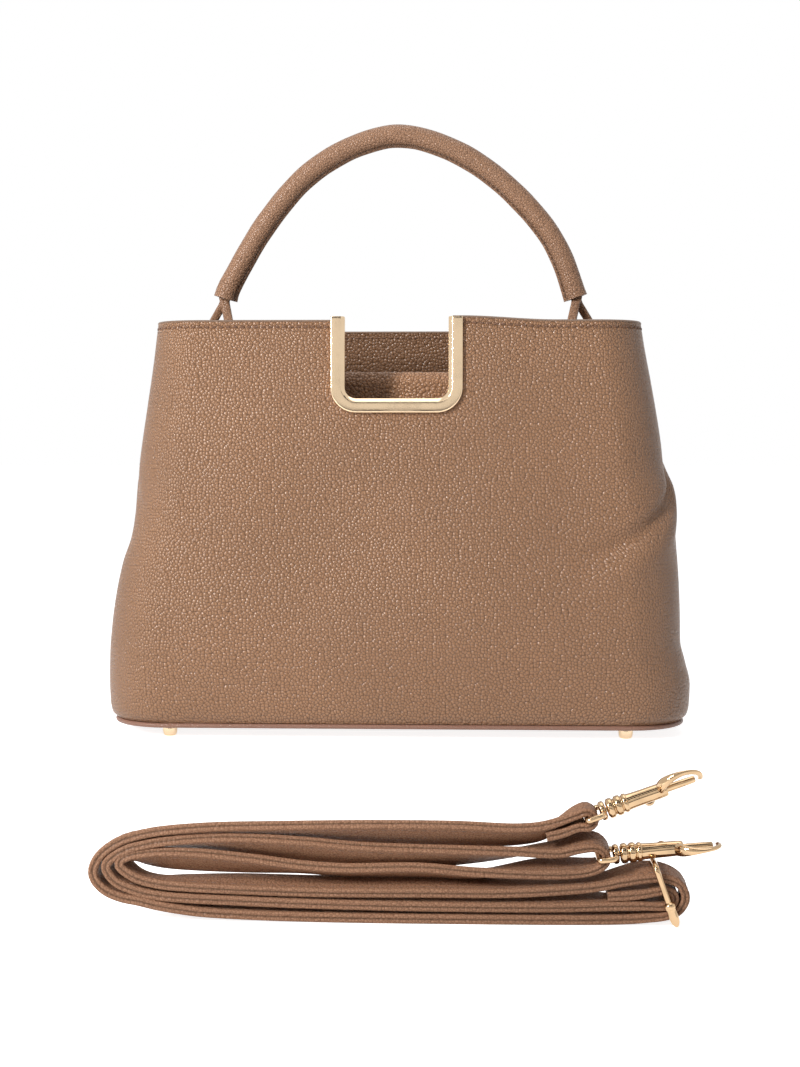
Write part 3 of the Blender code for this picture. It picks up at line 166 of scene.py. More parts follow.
def grid_faces(rows, columns, around=False, along=False):
    """Quads between neighbours: around joins the last column to the first, along the last row to the first."""
    r = np.arange(rows if along else rows - 1)[:, None]
    c = np.arange(columns if around else columns - 1)[None]
    below, beside = (r + 1) % rows, (c + 1) % columns
    corners = (r * columns + c, r * columns + beside, below * columns + beside, below * columns + c)
    return columns_of(*corners).reshape(-1, 4)


def sheet_part(grid, around=False, along=False):
    """A grid of points with the faces between them."""
    return grid.reshape(-1, 3), grid_faces(*grid.shape[:2], around, along)


def tube(grid, along=False):
    """A grid whose last column meets its first one."""
    return sheet_part(grid, around=True, along=along)


def capped(grid):
    """The grid with the middle of its first and of its last row added as whole rows, which close its ends."""
    first = np.broadcast_to(grid[0].mean(axis=0), grid[0].shape)
    last = np.broadcast_to(grid[-1].mean(axis=0), grid[-1].shape)
    return np.concatenate([first[None], grid, last[None]])


def thick_part(outer, inner, keep=None, around=False):
    """A solid between two grids where keep is true. Where a kept cell ends, a wall joins the two grids."""
    rows, columns = outer.shape[:2]
    cells = (rows - 1, columns if around else columns - 1)
    keep = np.ones(cells, bool) if keep is None else keep
    near = np.arange(rows * columns).reshape(rows, columns)
    near = np.concatenate([near, near[:, :1]], axis=1) if around else near
    far = near + rows * columns
    r, c = np.nonzero(keep)
    face = columns_of(near[r, c], near[r, c + 1], near[r + 1, c + 1], near[r + 1, c])
    beside = np.pad(keep, ((0, 0), (1, 1)), mode="wrap" if around else "constant")
    r, c = np.nonzero(beside[:, 1:] != beside[:, :-1])
    across = columns_of(near[r, c], near[r + 1, c], far[r + 1, c], far[r, c])
    above = np.pad(keep, ((1, 1), (0, 0)))
    r, c = np.nonzero(above[1:] != above[:-1])
    ends = columns_of(near[r, c], near[r, c + 1], far[r, c + 1], far[r, c])
    points = np.concatenate([outer.reshape(-1, 3), inner.reshape(-1, 3)])
    faces = np.concatenate([face, (face + rows * columns)[:, ::-1], across, ends])
    return points, faces


# %% Faces to Blender objects
def make_piece(name, finish, slot, *parts, body=ROOT, sharp=40.0, **marks):
    """Makes one object of (points, faces) parts. A piece named like a CAD node stands for that node.

    marks are numbers on its points, which the finish reads.
    """
    shifts = np.cumsum([0] + [len(points) for points, _ in parts])
    points = np.concatenate([points for points, _ in parts])
    faces = np.concatenate([faces + shift for (_, faces), shift in zip(parts, shifts)])
    mesh = bpy.data.meshes.new(name)
    mesh.from_pydata(points.tolist(), [], faces.tolist())
    for mark, values in marks.items():
        layer = mesh.attributes.new(mark, "FLOAT", "POINT")
        layer.data.foreach_set("value", np.ravel(values).astype(np.float32))
    sculpt = bmesh.new()
    sculpt.from_mesh(mesh)
    bmesh.ops.remove_doubles(sculpt, verts=sculpt.verts, dist=1e-6)
    loose = [v for v in sculpt.verts if not v.link_faces]
    bmesh.ops.delete(sculpt, geom=loose, context="VERTS")
    bmesh.ops.recalc_face_normals(sculpt, faces=sculpt.faces)
    sculpt.to_mesh(mesh)
    sculpt.free()
    mesh.shade_smooth()
    mesh.set_sharp_from_angle(angle=math.radians(sharp))
    mesh.materials.append(finish)
    obj = bpy.data.objects.new(name, mesh)
    scene.collection.objects.link(obj)
    if body:
        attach(obj, body)
    if name in frame["nodes"]:
        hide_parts(name)
    print(name, len(mesh.vertices), "points")
    return obj


# %% [markdown]
# ## Curves
#
# A soft outline is measured at a few heights. Between them a cubic runs that never overshoots, because each
# slope is the harmonic mean of the slopes beside it. Paths are centripetal curves through a few points, and a
# profile is carried along them.

# %% Curve helpers
def read_table(table, t):
    """The value at t of a cubic through (place, value) rows, which never overshoots between them."""
    x, y = np.array(table, float).T
    width = np.diff(x)
    step = np.diff(y) / width
    same = step[:-1] * step[1:] > 0
    mean = 2 * step[:-1] * step[1:] / np.where(same, step[:-1] + step[1:], 1.0)
    slope = np.concatenate([step[:1], np.where(same, mean, 0.0), step[-1:]])
    i = np.clip(np.searchsorted(x, t, side="right") - 1, 0, len(width) - 1)
    u = np.clip((t - x[i]) / width[i], 0.0, 1.0)
    start = (1 + 2 * u) * (1 - u) ** 2 * y[i] + u * (1 - u) ** 2 * width[i] * slope[i]
    return start + u * u * (3 - 2 * u) * y[i + 1] + u * u * (u - 1) * width[i] * slope[i + 1]


def smoothstep(low, high, t):
    """0 below low, 1 above high, and 3u squared less 2u cubed between them."""
    u = np.clip((np.asarray(t, float) - low) / (high - low), 0.0, 1.0)
    return u * u * (3 - 2 * u)


def spaced(points, step=None, count=None):
    """Points at even steps along a line of points; extra numbers on each point are carried along."""
    points = np.asarray(points, float)
    lengths = np.linalg.norm(np.diff(points[:, :3], axis=0), axis=1)
    along = np.concatenate([[0.0], np.cumsum(lengths)])
    count = count or int(round(along[-1] / step)) + 1
    wanted = np.linspace(0.0, along[-1], count)
    return columns_of(*(np.interp(wanted, along, column) for column in points.T))


def curve(points, step, fine=12):
    """A centripetal Catmull-Rom curve: each stretch blends the two parabolas that share it."""
    points = np.asarray(points, float)
    padded = np.concatenate([[2 * points[0] - points[1]], points, [2 * points[-1] - points[-2]]])
    p = [padded[k : len(padded) - 3 + k, None] for k in range(4)]
    knot = [np.zeros((len(p[0]), 1, 1))]
    for k in range(3):
        knot.append(knot[k] + np.sqrt(np.linalg.norm(p[k + 1] - p[k], axis=2, keepdims=True)))
    t = knot[1] + (knot[2] - knot[1]) * np.arange(fine)[None, :, None] / fine

    def mix(first, last, low, high):
        return ((high - t) * first + (t - low) * last) / (high - low)

    level = [mix(p[k], p[k + 1], knot[k], knot[k + 1]) for k in range(3)]
    level = [mix(level[k], level[k + 1], knot[k], knot[k + 2]) for k in range(2)]
    dense = mix(*level, knot[1], knot[2])
    dense = np.concatenate([dense.reshape(-1, points.shape[1]), points[-1:]])
    return spaced(dense, step)


def unit(vectors):
    """The same directions, each one long."""
    return vectors / np.linalg.norm(vectors, axis=-1, keepdims=True)


def frames(path, across, closed=False):
    """At each point of a path the direction at a right angle to it and to across, and across itself."""
    ahead = np.roll(path, -1, axis=0) - np.roll(path, 1, axis=0) if closed else np.gradient(path, axis=0)
    across = np.broadcast_to(np.asarray(across, float), path.shape)
    return unit(np.cross(across, ahead)), across


def carry(path, normal, across, section):
    """A section of (along the normal, across) points carried to every point of the path."""
    section = np.broadcast_to(section, (len(path),) + np.shape(section)[-2:])
    return path[:, None] + normal[:, None] * section[..., :1] + across[:, None] * section[..., 1:]


def swept(path, across, section, closed=False):
    """A section carried along a path."""
    return carry(path, *frames(path, across, closed), section)


def full_turn(sides):
    """Angles at even steps once round."""
    return np.arange(sides) * 2 * np.pi / sides


def round_points(angle):
    """Points of a circle of radius 1."""
    return columns_of(np.cos(angle), np.sin(angle))


def arc(start, end, count):
    """Points of a circle of radius 1 from one angle to another, in half turns."""
    return round_points(np.linspace(start * np.pi, end * np.pi, count))


def ring(radius, sides):
    """Points of a whole circle."""
    return radius * round_points(full_turn(sides))


def signed_power(value, exponent):
    """The size of a value raised to a power, with its sign kept."""
    return np.sign(value) * np.abs(value) ** exponent


def soft_box(half_high, half_wide, sides, roundness):
    """A box with rounded corners: a circle whose sine and cosine are raised to a small power."""
    angle = full_turn(sides)
    high = half_high * signed_power(np.cos(angle), roundness)
    wide = half_wide * signed_power(np.sin(angle), roundness)
    return columns_of(high, wide)


def grains(centres, along, out, size, roundness=0.6, rings=7, sides=8):
    """Small rounded bodies, one at each centre: half a turn in one parameter, a full turn in the other.

    size is (length, width, height); a small roundness gives a block, 1 gives an egg.
    """
    along = unit(np.broadcast_to(along, centres.shape))
    side = unit(np.cross(out, along))
    top = np.cross(along, side)
    theta = np.linspace(0.0, np.pi, rings)[None, :, None, None]
    phi = full_turn(sides)[None, None, :, None]
    length, width, height = (s / 2 for s in size)
    reach = np.sin(theta) ** roundness
    grid = centres[:, None, None] + along[:, None, None] * length * signed_power(np.cos(theta), roundness)
    grid = grid + side[:, None, None] * width * reach * signed_power(np.cos(phi), roundness)
    grid = grid + top[:, None, None] * height * reach * signed_power(np.sin(phi), roundness)
    quads = grid_faces(rings, sides, around=True)
    shift = np.arange(len(centres))[:, None, None] * rings * sides
    return grid.reshape(-1, 3), (quads[None] + shift).reshape(-1, 4)


# %% [markdown]
# ## Writing shaders as formulas
#
# A material is a small formula. The two classes below let one write it as such: arithmetic on a Signal adds
# Math nodes, and one method adds any other node.

# %% Shader helpers
class Signal:
    """A value that varies over a surface. Arithmetic on it adds Math nodes to its finish."""

    def __init__(self, finish, socket):
        self.finish = finish
        self.socket = socket

    def maths(self, operation, *values):
        return self.finish.node("Math", dict(enumerate(values)), operation=operation)

    def beside(self, label):
        """Another output of the same node."""
        return Signal(self.finish, self.socket.node.outputs[label])

    def __add__(self, other):
        return self.maths("ADD", self, other)

    def __sub__(self, other):
        return self.maths("SUBTRACT", self, other)

    def __rsub__(self, other):
        return self.maths("SUBTRACT", other, self)

    def __mul__(self, other):
        return self.maths("MULTIPLY", self, other)

    __radd__ = __add__
    __rmul__ = __mul__


class Finish:
    """A material being made: its Principled shader and one method that adds any node."""

    def __init__(self, name, **constants):
        self.material = bpy.data.materials.new(name)
        self.material.use_nodes = True
        self.tree = self.material.node_tree
        self.shader = self.tree.nodes["Principled BSDF"]
        for label, value in constants.items():
            self.shader.inputs[label.replace("_", " ").title().replace("Ior", "IOR")].default_value = value

    def node(self, kind, inputs=(), output=0, **settings):
        """Adds a node, sets its settings, links or fills its inputs, and gives one of its outputs."""
        node = self.tree.nodes.new("ShaderNode" + kind)
        for label, value in settings.items():
            setattr(node, label, value)
        for label, value in dict(inputs).items():
            self.join(value, node.inputs[label])
        return Signal(self, node.outputs[output]) if len(node.outputs) else None

    def join(self, value, socket):
        if isinstance(value, Signal):
            self.tree.links.new(value.socket, socket)
        else:
            socket.default_value = value

    def place(self):
        """The point in the piece's own coordinates, in metres."""
        return self.node("TexCoord", output="Object")

    def mark(self, name):
        """A number kept on the piece's points."""
        return self.node("Attribute", output="Fac", attribute_name=name)

    def noise(self, place, scale, detail=2.0):
        """Soft noise from 0 to 1, scale patches to the metre."""
        return self.node("TexNoise", {"Vector": place, "Scale": scale, "Detail": detail})

    def clamp(self, value, low, high):
        """Runs from 0 at low to 1 at high, smoothly."""
        inputs = {"Value": value, "From Min": low, "From Max": high}
        return self.node("MapRange", inputs, interpolation_type="SMOOTHSTEP")

    def blend(self, share, first, second):
        """A colour between two colours."""
        inputs = {0: share, 6: self.rgba(first), 7: self.rgba(second)}
        return self.node("Mix", inputs, output=2, data_type="RGBA")

    def rgba(self, colour):
        return colour if isinstance(colour, Signal) else (*colour, 1.0)[:4]

    def dress(self, colour, roughness, height, rise):
        """Links what varies; a height from 0 to 1 shades as if the surface rose by rise in metres."""
        bump = self.node("Bump", {"Height": height, "Distance": rise, "Strength": 1.0})
        for label, value in (("Base Color", colour), ("Roughness", roughness), ("Normal", bump)):
            self.join(value, self.shader.inputs[label])
        return self.material


def shade(colour, factor):
    """A colour made darker or lighter."""
    return tuple(min(1.0, part * factor) for part in colour)


# %% World, floor and lamps
def seen_directly(finish_like):
    """1 for rays from the camera, and for those that metal and glass send out; 0 for the rest."""
    ray = finish_like.node("LightPath")
    total = ray.beside("Is Camera Ray") + ray.beside("Is Glossy Ray") + ray.beside("Is Transmission Ray")
    return total.maths("MINIMUM", total, 1.0)


class Sky(Finish):
    """The world's own tree, written with the same node method."""

    def __init__(self, world):
        world.use_nodes = True
        self.tree = world.node_tree
        self.tree.nodes.clear()


WORLD_LIGHT = 0.20
world = bpy.data.worlds.new("white_room")
scene.world = world
sky = Sky(world)
lit, white = (
    sky.node("Background", {"Color": (1.0,) * 4, "Strength": power})
    for power in (WORLD_LIGHT, 1.0)
)
mixed = sky.node("MixShader", {0: seen_directly(sky), 1: lit, 2: white})
sky.node("OutputWorld", {"Surface": mixed})

FLOOR_TONE = 0.86
floor_finish = Finish(
    "pale_floor", base_color=(*(FLOOR_TONE,) * 3, 1.0), roughness=0.9, emission_strength=FLOOR_TONE,
    specular_ior_level=0.0,
)
glow = floor_finish.blend(seen_directly(floor_finish), (0.0, 0.0, 0.0), (1.0, 1.0, 1.0))
floor_finish.join(glow, floor_finish.shader.inputs["Emission Color"])
floor_grid = np.array([[(x, y, 0.0) for x in (-6.0, 6.0)] for y in (-6.0, 6.0)])
floor = make_piece("floor", floor_finish.material, None, sheet_part(floor_grid), body=None)
if floor.data.polygons[0].normal.z < 0:
    floor.data.flip_normals()


def lamp(name, place, aim, size, power):
    """A square soft lamp that looks at a point."""
    light = bpy.data.lights.new(name, "AREA")
    light.size = size
    light.energy = power
    obj = bpy.data.objects.new(name, light)
    scene.collection.objects.link(obj)
    obj.location = place
    towards = unit(np.subtract(aim, place))
    obj.rotation_euler = (math.acos(-towards[2]), 0.0, math.atan2(towards[0], -towards[1]) + math.pi)


def dark_card(name, ends, low, high):
    """A black card that only reflections see: it puts a dark line into polished rods.

    ends are its left and right x, low and high the y and z of its lower and upper edge.
    """
    corners = np.array([[(x, *edge) for x in ends] for edge in (low, high)])
    card = make_piece(name, card_finish.material, None, sheet_part(corners), body=None)
    card.visible_camera = False
    card.visible_diffuse = False
    card.visible_shadow = False


lamp("key_left", (-0.80, -0.90, 0.88), (0.0, 0.12, 0.14), 0.28, 11.6)
lamp("glint_left", (-0.68, -0.78, 0.44), (-0.10, 0.12, 0.16), 0.12, 5.0)
lamp("fill_front", (-0.30, -1.7, 1.5), (0.0, 0.12, 0.12), 1.0, 2.9)
lamp("top_soft", (0.1, 0.2, 1.7), (0.0, 0.15, 0.2), 1.2, 7.4)
card_finish = Finish("black_card", base_color=(0.02, 0.02, 0.02, 1.0), roughness=0.9)
dark_card("low_card", (-1.6, 1.6), (-2.2, 0.02), (-2.2, 0.30))
dark_card("front_card", (-0.6, 1.3), (-1.2, 0.72), (-1.2, 1.15))
dark_card("high_card", (-0.5, 1.4), (-1.3, 1.5), (-0.8, 1.7))


# %% [markdown]
# ## Finishes
#
# Pebbled leather is a skin pressed with small rounded cells. A cell pattern gives the creases between pebbles
# and the dome of each one. The domes catch the light, the creases are rougher and get painted shade, each
# pebble differs a little in tone, and broad patches keep a large wall from looking flat.

# %% Leather
LEATHER = (0.350, 0.182, 0.094)
HANDLE_TONE = (0.400, 0.218, 0.126)
STRAP_TONE = (0.335, 0.178, 0.104)
PIPING_TONE = (0.330, 0.175, 0.122)
THREAD_TONE = (0.170, 0.080, 0.042)
FULL_TURN = 6.2832
PAINT_TONE = (0.200, 0.118, 0.072)


def unrolled(finish, low, high):
    """Lays a wall flat: along the front the first number is x, and from there it goes on with the depth.

    The walls turn their corners between the distances low and high from the middle.
    """
    parts = finish.node("SeparateXYZ", {"Vector": finish.place()})
    x, y, z = (parts.beside(axis) for axis in "XYZ")
    off_middle = y - BAG_Y
    depth = off_middle.maths("ABSOLUTE", off_middle)
    front = z * -0.0658 + 0.0656
    corner = finish.clamp(x.maths("ABSOLUTE", x), low, high) * x.maths("SIGN", x)
    return finish.node("CombineXYZ", {"X": x + corner * (front - depth), "Y": z, "Z": 0.0})


def leather(
    name, tone, pitch=0.0018, rise=0.00064, crease=0.50, top_roughness=0.22, mark=None, shine=0.46, flat=None
):
    """Pebbled leather: pitch is the size of a pebble, rise its height, crease how dark the painted shade in the
    lines between pebbles is; where the number named by mark is high, painted shadow darkens the colour further.
    """
    finish = Finish(name, coat_weight=0.0, specular_ior_level=shine)
    place = unrolled(finish, *flat) if flat else finish.place()
    slow = {"Vector": place, "Scale": 0.30 / pitch, "Detail": 1.0}
    wander = finish.node("TexNoise", slow, output=1)
    shifted = {0: wander, 1: (pitch * 0.45,) * 3, 2: place}
    wavy = finish.node("VectorMath", shifted, operation="MULTIPLY_ADD")
    cells = {"Vector": wavy, "Scale": 1 / pitch, "Randomness": 0.95}
    gap, reach = (
        finish.node("TexVoronoi", cells, feature=feature, voronoi_dimensions="2D" if flat else "3D")
        for feature in ("DISTANCE_TO_EDGE", "F1")
    )
    edge = finish.clamp(gap, 0.0, 0.14)
    dome = 1.0 - reach * reach * 1.6
    fine = finish.noise(place, 2200.0)
    height = dome * 0.72 + edge * 0.22 + fine * 0.06
    broad = finish.clamp(finish.noise(place, 14.0, 3.0), 0.30, 0.70)
    base = finish.blend(broad, shade(tone, 0.95), shade(tone, 1.05))
    single = finish.node("SeparateColor", {"Color": reach.beside("Color")})
    varied = finish.blend(single * 0.10, base, shade(tone, 0.55))
    # Painted shade: the colour is darker in the lines between pebbles, and darker still where a shadow mark is
    # high.
    line = finish.clamp(gap, 0.0, 0.15)
    with_painted_shade = finish.blend(line, (tone[0] * crease, tone[1] * crease * 0.93, tone[2] * crease * 0.90), varied)
    if mark:
        with_painted_shade = finish.blend(finish.mark(mark), with_painted_shade, shade(tone, 0.30))
    return finish.dress(with_painted_shade, edge * (top_roughness - 0.66) + 0.66 + fine * 0.06, height, rise)


body_leather = leather("body_leather", LEATHER, flat=(0.06, 0.12))
# The facing and the ring tabs inside the bag are the body leather made a fifth darker: painted shade.
facing_leather_shaded = leather("facing_leather_shaded", shade(LEATHER, 0.80), flat=(0.06, 0.12))
# The compartment and the zip's end panels are the body leather made about a third lighter: painted light.
pocket_leather_painted_light = leather("pocket_leather_painted_light", shade(LEATHER, 1.36))
handle_leather = leather("handle_leather", HANDLE_TONE, pitch=0.0014, rise=0.00034, mark="shadow", shine=0.38)
strap_leather = leather(
    "strap_leather", STRAP_TONE, pitch=0.0011, rise=0.00026, crease=0.68, top_roughness=0.40, mark="shadow",
    shine=0.20,
)
piping_leather = leather("piping_leather", PIPING_TONE, pitch=0.0013, rise=0.00022, crease=0.75)


# %% [markdown]
# Thread is a twisted yarn, edge paint is a thin rubbery coat with a slight waviness, and the lining is a plain
# weave: two sets of ribs that cross. Metal here is a warm pale gold, polished, with faint hairlines.

# %% Thread, edge paint, cloth and metal
def thread(name, tone):
    """A twisted yarn: fine waves of light and dark."""
    finish = Finish(name, sheen_weight=0.2)
    twist = finish.node("TexWave", {"Vector": finish.place(), "Scale": 700.0, "Distortion": 2.0})
    colour = finish.blend(twist, shade(tone, 0.7), shade(tone, 1.25))
    return finish.dress(colour, twist * -0.1 + 0.7, twist, 0.00006)


def edge_paint(name, tone):
    """A rubbery coat with soft lumps."""
    finish = Finish(name)
    lump = finish.noise(finish.place(), 260.0, 3.0)
    colour = finish.blend(lump, shade(tone, 0.80), shade(tone, 1.20))
    return finish.dress(colour, lump * 0.2 + 0.35, lump, 0.00030)


def cloth(name, tone, threads=900.0, rise=0.00012):
    """A plain weave: ribs along the height and ribs round the wall, multiplied."""
    finish = Finish(name, sheen_weight=0.3)
    place = finish.place()
    parts = finish.node("SeparateXYZ", {"Vector": place})
    x, y, z = (parts.beside(axis) for axis in "XYZ")
    warp, weft = (way.maths("SINE", way * threads * FULL_TURN) for way in (x + y, z))
    weave = warp * weft * 0.5 + 0.5
    slub = finish.clamp(finish.noise(place, 120.0, 4.0), 0.25, 0.75)
    base = finish.blend(slub, shade(tone, 0.88), shade(tone, 1.12))
    return finish.dress(finish.blend(weave, shade(tone, 0.62), base), weave * -0.1 + 0.92, weave, rise)


def metal(name, tone, low=0.10, high=0.22, wear=0.8):
    """Polished plated metal: its gloss varies with faint hairlines and handling marks."""
    finish = Finish(name, metallic=1.0)
    place = finish.place()
    smudge = finish.clamp(finish.noise(place, 90.0, 4.0), 0.35, 0.75)
    hair = finish.noise(place, 900.0, 3.0)
    colour = finish.blend(smudge, tone, shade(tone, wear))
    return finish.dress(colour, smudge * (high - low) + low, hair, 0.000012)


thread_finish = thread("thread", THREAD_TONE)
paint_finish = edge_paint("edge_paint", PAINT_TONE)
lining_cloth = cloth("lining_cloth", (0.300, 0.215, 0.150))
tape_cloth = cloth("zip_tape_cloth", (0.200, 0.120, 0.080), 700.0)
gold = metal("pale_gold", (0.780, 0.590, 0.390), 0.13, 0.24, wear=0.94)
# The hooks and the buckle get a darker copy of the gold: painted shade standing in for dark reflections.
hook_gold_painted_shade = metal("hook_gold_painted_shade", (0.580, 0.400, 0.235), 0.06, 0.14, wear=0.75)
zip_metal = metal("zip_metal", (0.720, 0.520, 0.300), 0.20, 0.35)
steel = metal("spring_steel", (0.550, 0.550, 0.560), 0.25, 0.40)
print(len(bpy.data.materials), "materials")


# %% [markdown]
# ## The walls of the bag
#
# Each half of the bag is one piece of leather that wraps from side seam to side seam. A point on it is given
# by s, which runs from the left seam (0) round to the right seam (1), and by its height. Seen from above, the
# wall is half of a rounded rectangle whose width, depth and corner radius all change with height.

# %% One point of the wall
FLAT_PART = 0.52
CORNER_PART = 0.80


def hump(t, middle, width):
    """A bell: e to the power of minus the squared distance from the middle, in widths."""
    return np.exp(-(((t - middle) / width) ** 2))


def run(value, low, high):
    """0 below low, 1 above high, even between them."""
    return np.clip((value - low) / (high - low), 0.0, 1.0)


def rim_height(s, drop=0.0):
    """The top edge: level along the front, then lower by a smooth step that ends at the side seam."""
    a = np.abs(2 * s - 1)
    corner, side = run(a, FLAT_PART, CORNER_PART), run(a, CORNER_PART, 1.0)
    lift = 0.0024 * smoothstep(0.71, 0.585, s) * smoothstep(0.5, 0.53, s) * (drop < BACK_RIM_DROP)
    return RIM_HEIGHT + lift - drop - SIDE_RIM_DROP * smoothstep(0.8, 2.0, corner + side)


VALLEY = (
    (0.40, 0.103), (0.50, 0.112), (0.57, 0.118), (0.66, 0.128), (0.74, 0.140), (0.80, 0.158), (0.90, 0.172),
)


# Each bell: its height, then the middle and the width along x, then along z
BELLS = (
    (0.0016, -0.095, 0.040, 0.150, 0.045), (-0.0014, -0.040, 0.035, 0.120, 0.040),
    (0.0015, 0.030, 0.050, 0.075, 0.030), (-0.0012, 0.095, 0.026, 0.165, 0.040),
    (0.0012, -0.110, 0.030, 0.060, 0.030), (0.0012, 0.125, 0.020, 0.070, 0.035),
)


def softness(x, z, a, share, facing):
    """How far the soft leather stands out from its drawn form.

    Broad bells make bulges and hollows. At the front's right corner a fold runs down and inwards: a narrow bell
    below the surface along the valley line, and a wider one above it just under that line.
    """
    clear = 1.0 - smoothstep(0.075, 0.045, np.abs(x)) * smoothstep(0.150, 0.170, z)
    inside = smoothstep(0.0, 0.06, share) * smoothstep(1.0, 0.93, share) * clear * smoothstep(0.98, 0.80, a)
    bulge = sum(high * hump(x, x0, wide) * hump(z, z0, tall) for high, x0, wide, z0, tall in BELLS)
    below = (read_table(VALLEY, np.clip(a, 0.40, 0.90)) - z) / 1.25
    window = smoothstep(0.40, 0.54, a) * smoothstep(0.92, 0.80, a) * np.where(x > 0, 1.0, 0.15)
    fold = window * (0.0020 * hump(below, 0.012, 0.008) - 0.0030 * hump(below, 0.0, 0.0042))
    fold = fold if facing < 0 else 0.3 * fold
    return bulge * inside + fold * smoothstep(1.0, 0.95, share)


def wall(s, z, facing, inset=0.0):
    """Points of the wall and their outward directions, inset being the distance inwards from its outer face.

    Along the front x grows evenly; at the corner the point turns a quarter circle; along the side the distance
    from the middle plane falls evenly to the seam.
    """
    s, z = np.broadcast_arrays(np.asarray(s, float), np.asarray(z, float))
    share = run(z, SHELL_BOTTOM, RIM_HEIGHT)
    side = np.sign(s - 0.5)
    a = np.abs(2 * s - 1)
    width = np.where(side < 0, read_table(LEFT_WIDTH, share), read_table(RIGHT_WIDTH, share)) - inset
    depth = (TOP_DEPTH + (BASE_DEPTH - TOP_DEPTH) * read_table(DEPTH_SWELL, share)) / 2 - inset
    corner = BASE_CORNER + (TOP_CORNER - BASE_CORNER) * share - inset
    turn = run(a, FLAT_PART, CORNER_PART) * np.pi / 2
    seam = run(a, CORNER_PART, 1.0)
    x = (width - corner) * np.clip(a / FLAT_PART, 0.0, 1.0) + corner * np.sin(turn)
    d = (depth - corner + corner * np.cos(turn)) * (1 - seam) + GAP / 2 * seam
    out = columns_of(side * np.sin(turn), facing * np.cos(turn), 0.0)
    point = columns_of(side * x, BAG_Y + facing * d, z)
    lift = softness(side * x, z, a, share, facing)
    return point + out * lift[..., None], out


# %% [markdown]
# The notch in the front wall is cut by leaving out the cells of the grid that lie inside it. Its ragged edge is
# under the metal frame. Rows are closer near the rim, where the leather dips along its row of stitches.

# %% Walls, facings and linings
FRAME_WIDTH = 0.0750
FRAME_HEIGHT = 0.0545
FRAME_BAND = 0.0081
FRAME_INNER_RADIUS = 0.0065
FRAME_STAND_UP = 0.0025
FACING_HEIGHT = 0.0645
STITCH_DEPTH = 0.0032
GROOVE_WIDTH = 0.0009
NOTCH_CUT = 0.0040
FINE_BAND = 0.008
SWELL_SHARE, SWELL = DEPTH_SWELL[-2]
LEAN = (BASE_DEPTH - TOP_DEPTH) / 2 * SWELL / (1.0 - SWELL_SHARE) / SHELL_HEIGHT
RIM_SLOPE = math.hypot(1.0, LEAN)


def notch_distance(x, z):
    """How far a point of the front lies outside the notch: distance to a box with rounded lower corners."""
    v = (z - RIM_HEIGHT) * RIM_SLOPE
    half = FRAME_WIDTH / 2 - FRAME_BAND - FRAME_INNER_RADIUS
    low = FRAME_STAND_UP - FRAME_HEIGHT + FRAME_BAND + FRAME_INNER_RADIUS
    beside = np.maximum(np.abs(x) - half, 0.0)
    below = np.maximum(low - v, 0.0)
    return np.hypot(beside, below) - FRAME_INNER_RADIUS


def wall_rows(low, high, rim, fine=0.0006, coarse=0.0026):
    """Heights from low to high, in fine steps for the last 8 mm below the rim and coarse ones elsewhere."""
    near = np.arange(0.0, FINE_BAND, fine)
    far = np.linspace(FINE_BAND, float(rim.max()), int(rim.max() / coarse))
    share = 1.0 - np.concatenate([near, far])[::-1] / rim.max()
    return low + (high - low) * share[:, None]


def half_wall(
    name, facing, inset, thickness, low, high, drop, finish, slot, columns=241, groove=0.0005, coarse=0.0026
):
    """A wall between two heights: its outer face, the same face further in, and the edge between them."""
    s = np.linspace(0.0, 1.0, columns)[None]
    rim = rim_height(s, drop)
    z = wall_rows(low(rim), high(rim), rim - SHELL_BOTTOM, coarse=coarse)
    outer, out = wall(s, z, facing, inset)
    dip = groove * hump(rim - z, STITCH_DEPTH, GROOVE_WIDTH)
    outer = outer - out * dip[..., None]
    inner, _ = wall(s, z, facing, inset + thickness)
    keep = None
    if facing == FRONT:
        middle = (outer[:-1, :-1] + outer[1:, 1:]) / 2
        keep = notch_distance(middle[..., 0], middle[..., 2]) > NOTCH_CUT
    make_piece(name, finish, slot, thick_part(outer, inner, keep), sharp=50.0)


def at_bottom(rim):
    """The lower edge of the walls, level all round."""
    return np.full_like(rim, SHELL_BOTTOM)


def below_rim(distance):
    """A height that stays at one distance below the rim."""
    return lambda rim: rim - distance


SIDES = (("front", FRONT, 0.0), ("back", BACK, BACK_RIM_DROP))
at_rim = below_rim(0.0)
facing_end = below_rim(FACING_HEIGHT)
lining_top = below_rim(FACING_HEIGHT + GAP)
for word, facing, drop in SIDES:
    half_wall(word + "_panel", facing, 0.0, PANEL_WALL, at_bottom, at_rim, drop, body_leather, "bag_leather")
    half_wall(
        word + "_facing", facing, LINING_OFFSET, FACING_WALL, facing_end, at_rim, drop, facing_leather_shaded,
        "bag_leather", 161, 0.0,
    )
    half_wall(
        word + "_lining", facing, LINING_OFFSET, LINING_WALL, at_bottom, lining_top, drop, lining_cloth,
        "lining_fabric", 161, 0.0, 0.004,
    )


# %% [markdown]
# The rim is finished with a bead of edge paint over the cut edges of the panel and the facing, and a row of
# stitches just below it, seen from outside and from inside.

# %% Painted rim and its stitches
STITCH_PITCH = 0.0040
STITCH_SIZE = (0.0027, 0.0011, 0.0010)
STITCHED = (0.004, 0.996)
STITCH_CLEAR = 0.0092
BEAD_PROUD = 0.00025
BEAD_RISE = 0.0009


def rim_bead(s_from, s_to, facing, drop, count=220):
    """A flat oval carried along the rim: one parameter runs along the rim, the other round the oval."""
    s = np.linspace(s_from, s_to, count)[:, None]
    angle = full_turn(14)[None]
    inset = STACK / 2 - (STACK / 2 + BEAD_PROUD) * np.cos(angle)
    rim = rim_height(s, drop)
    point, _ = wall(s + 0 * angle, rim + 0 * angle, facing, inset)
    point[..., 2] += BEAD_RISE * np.sin(angle)
    return tube(capped(point))


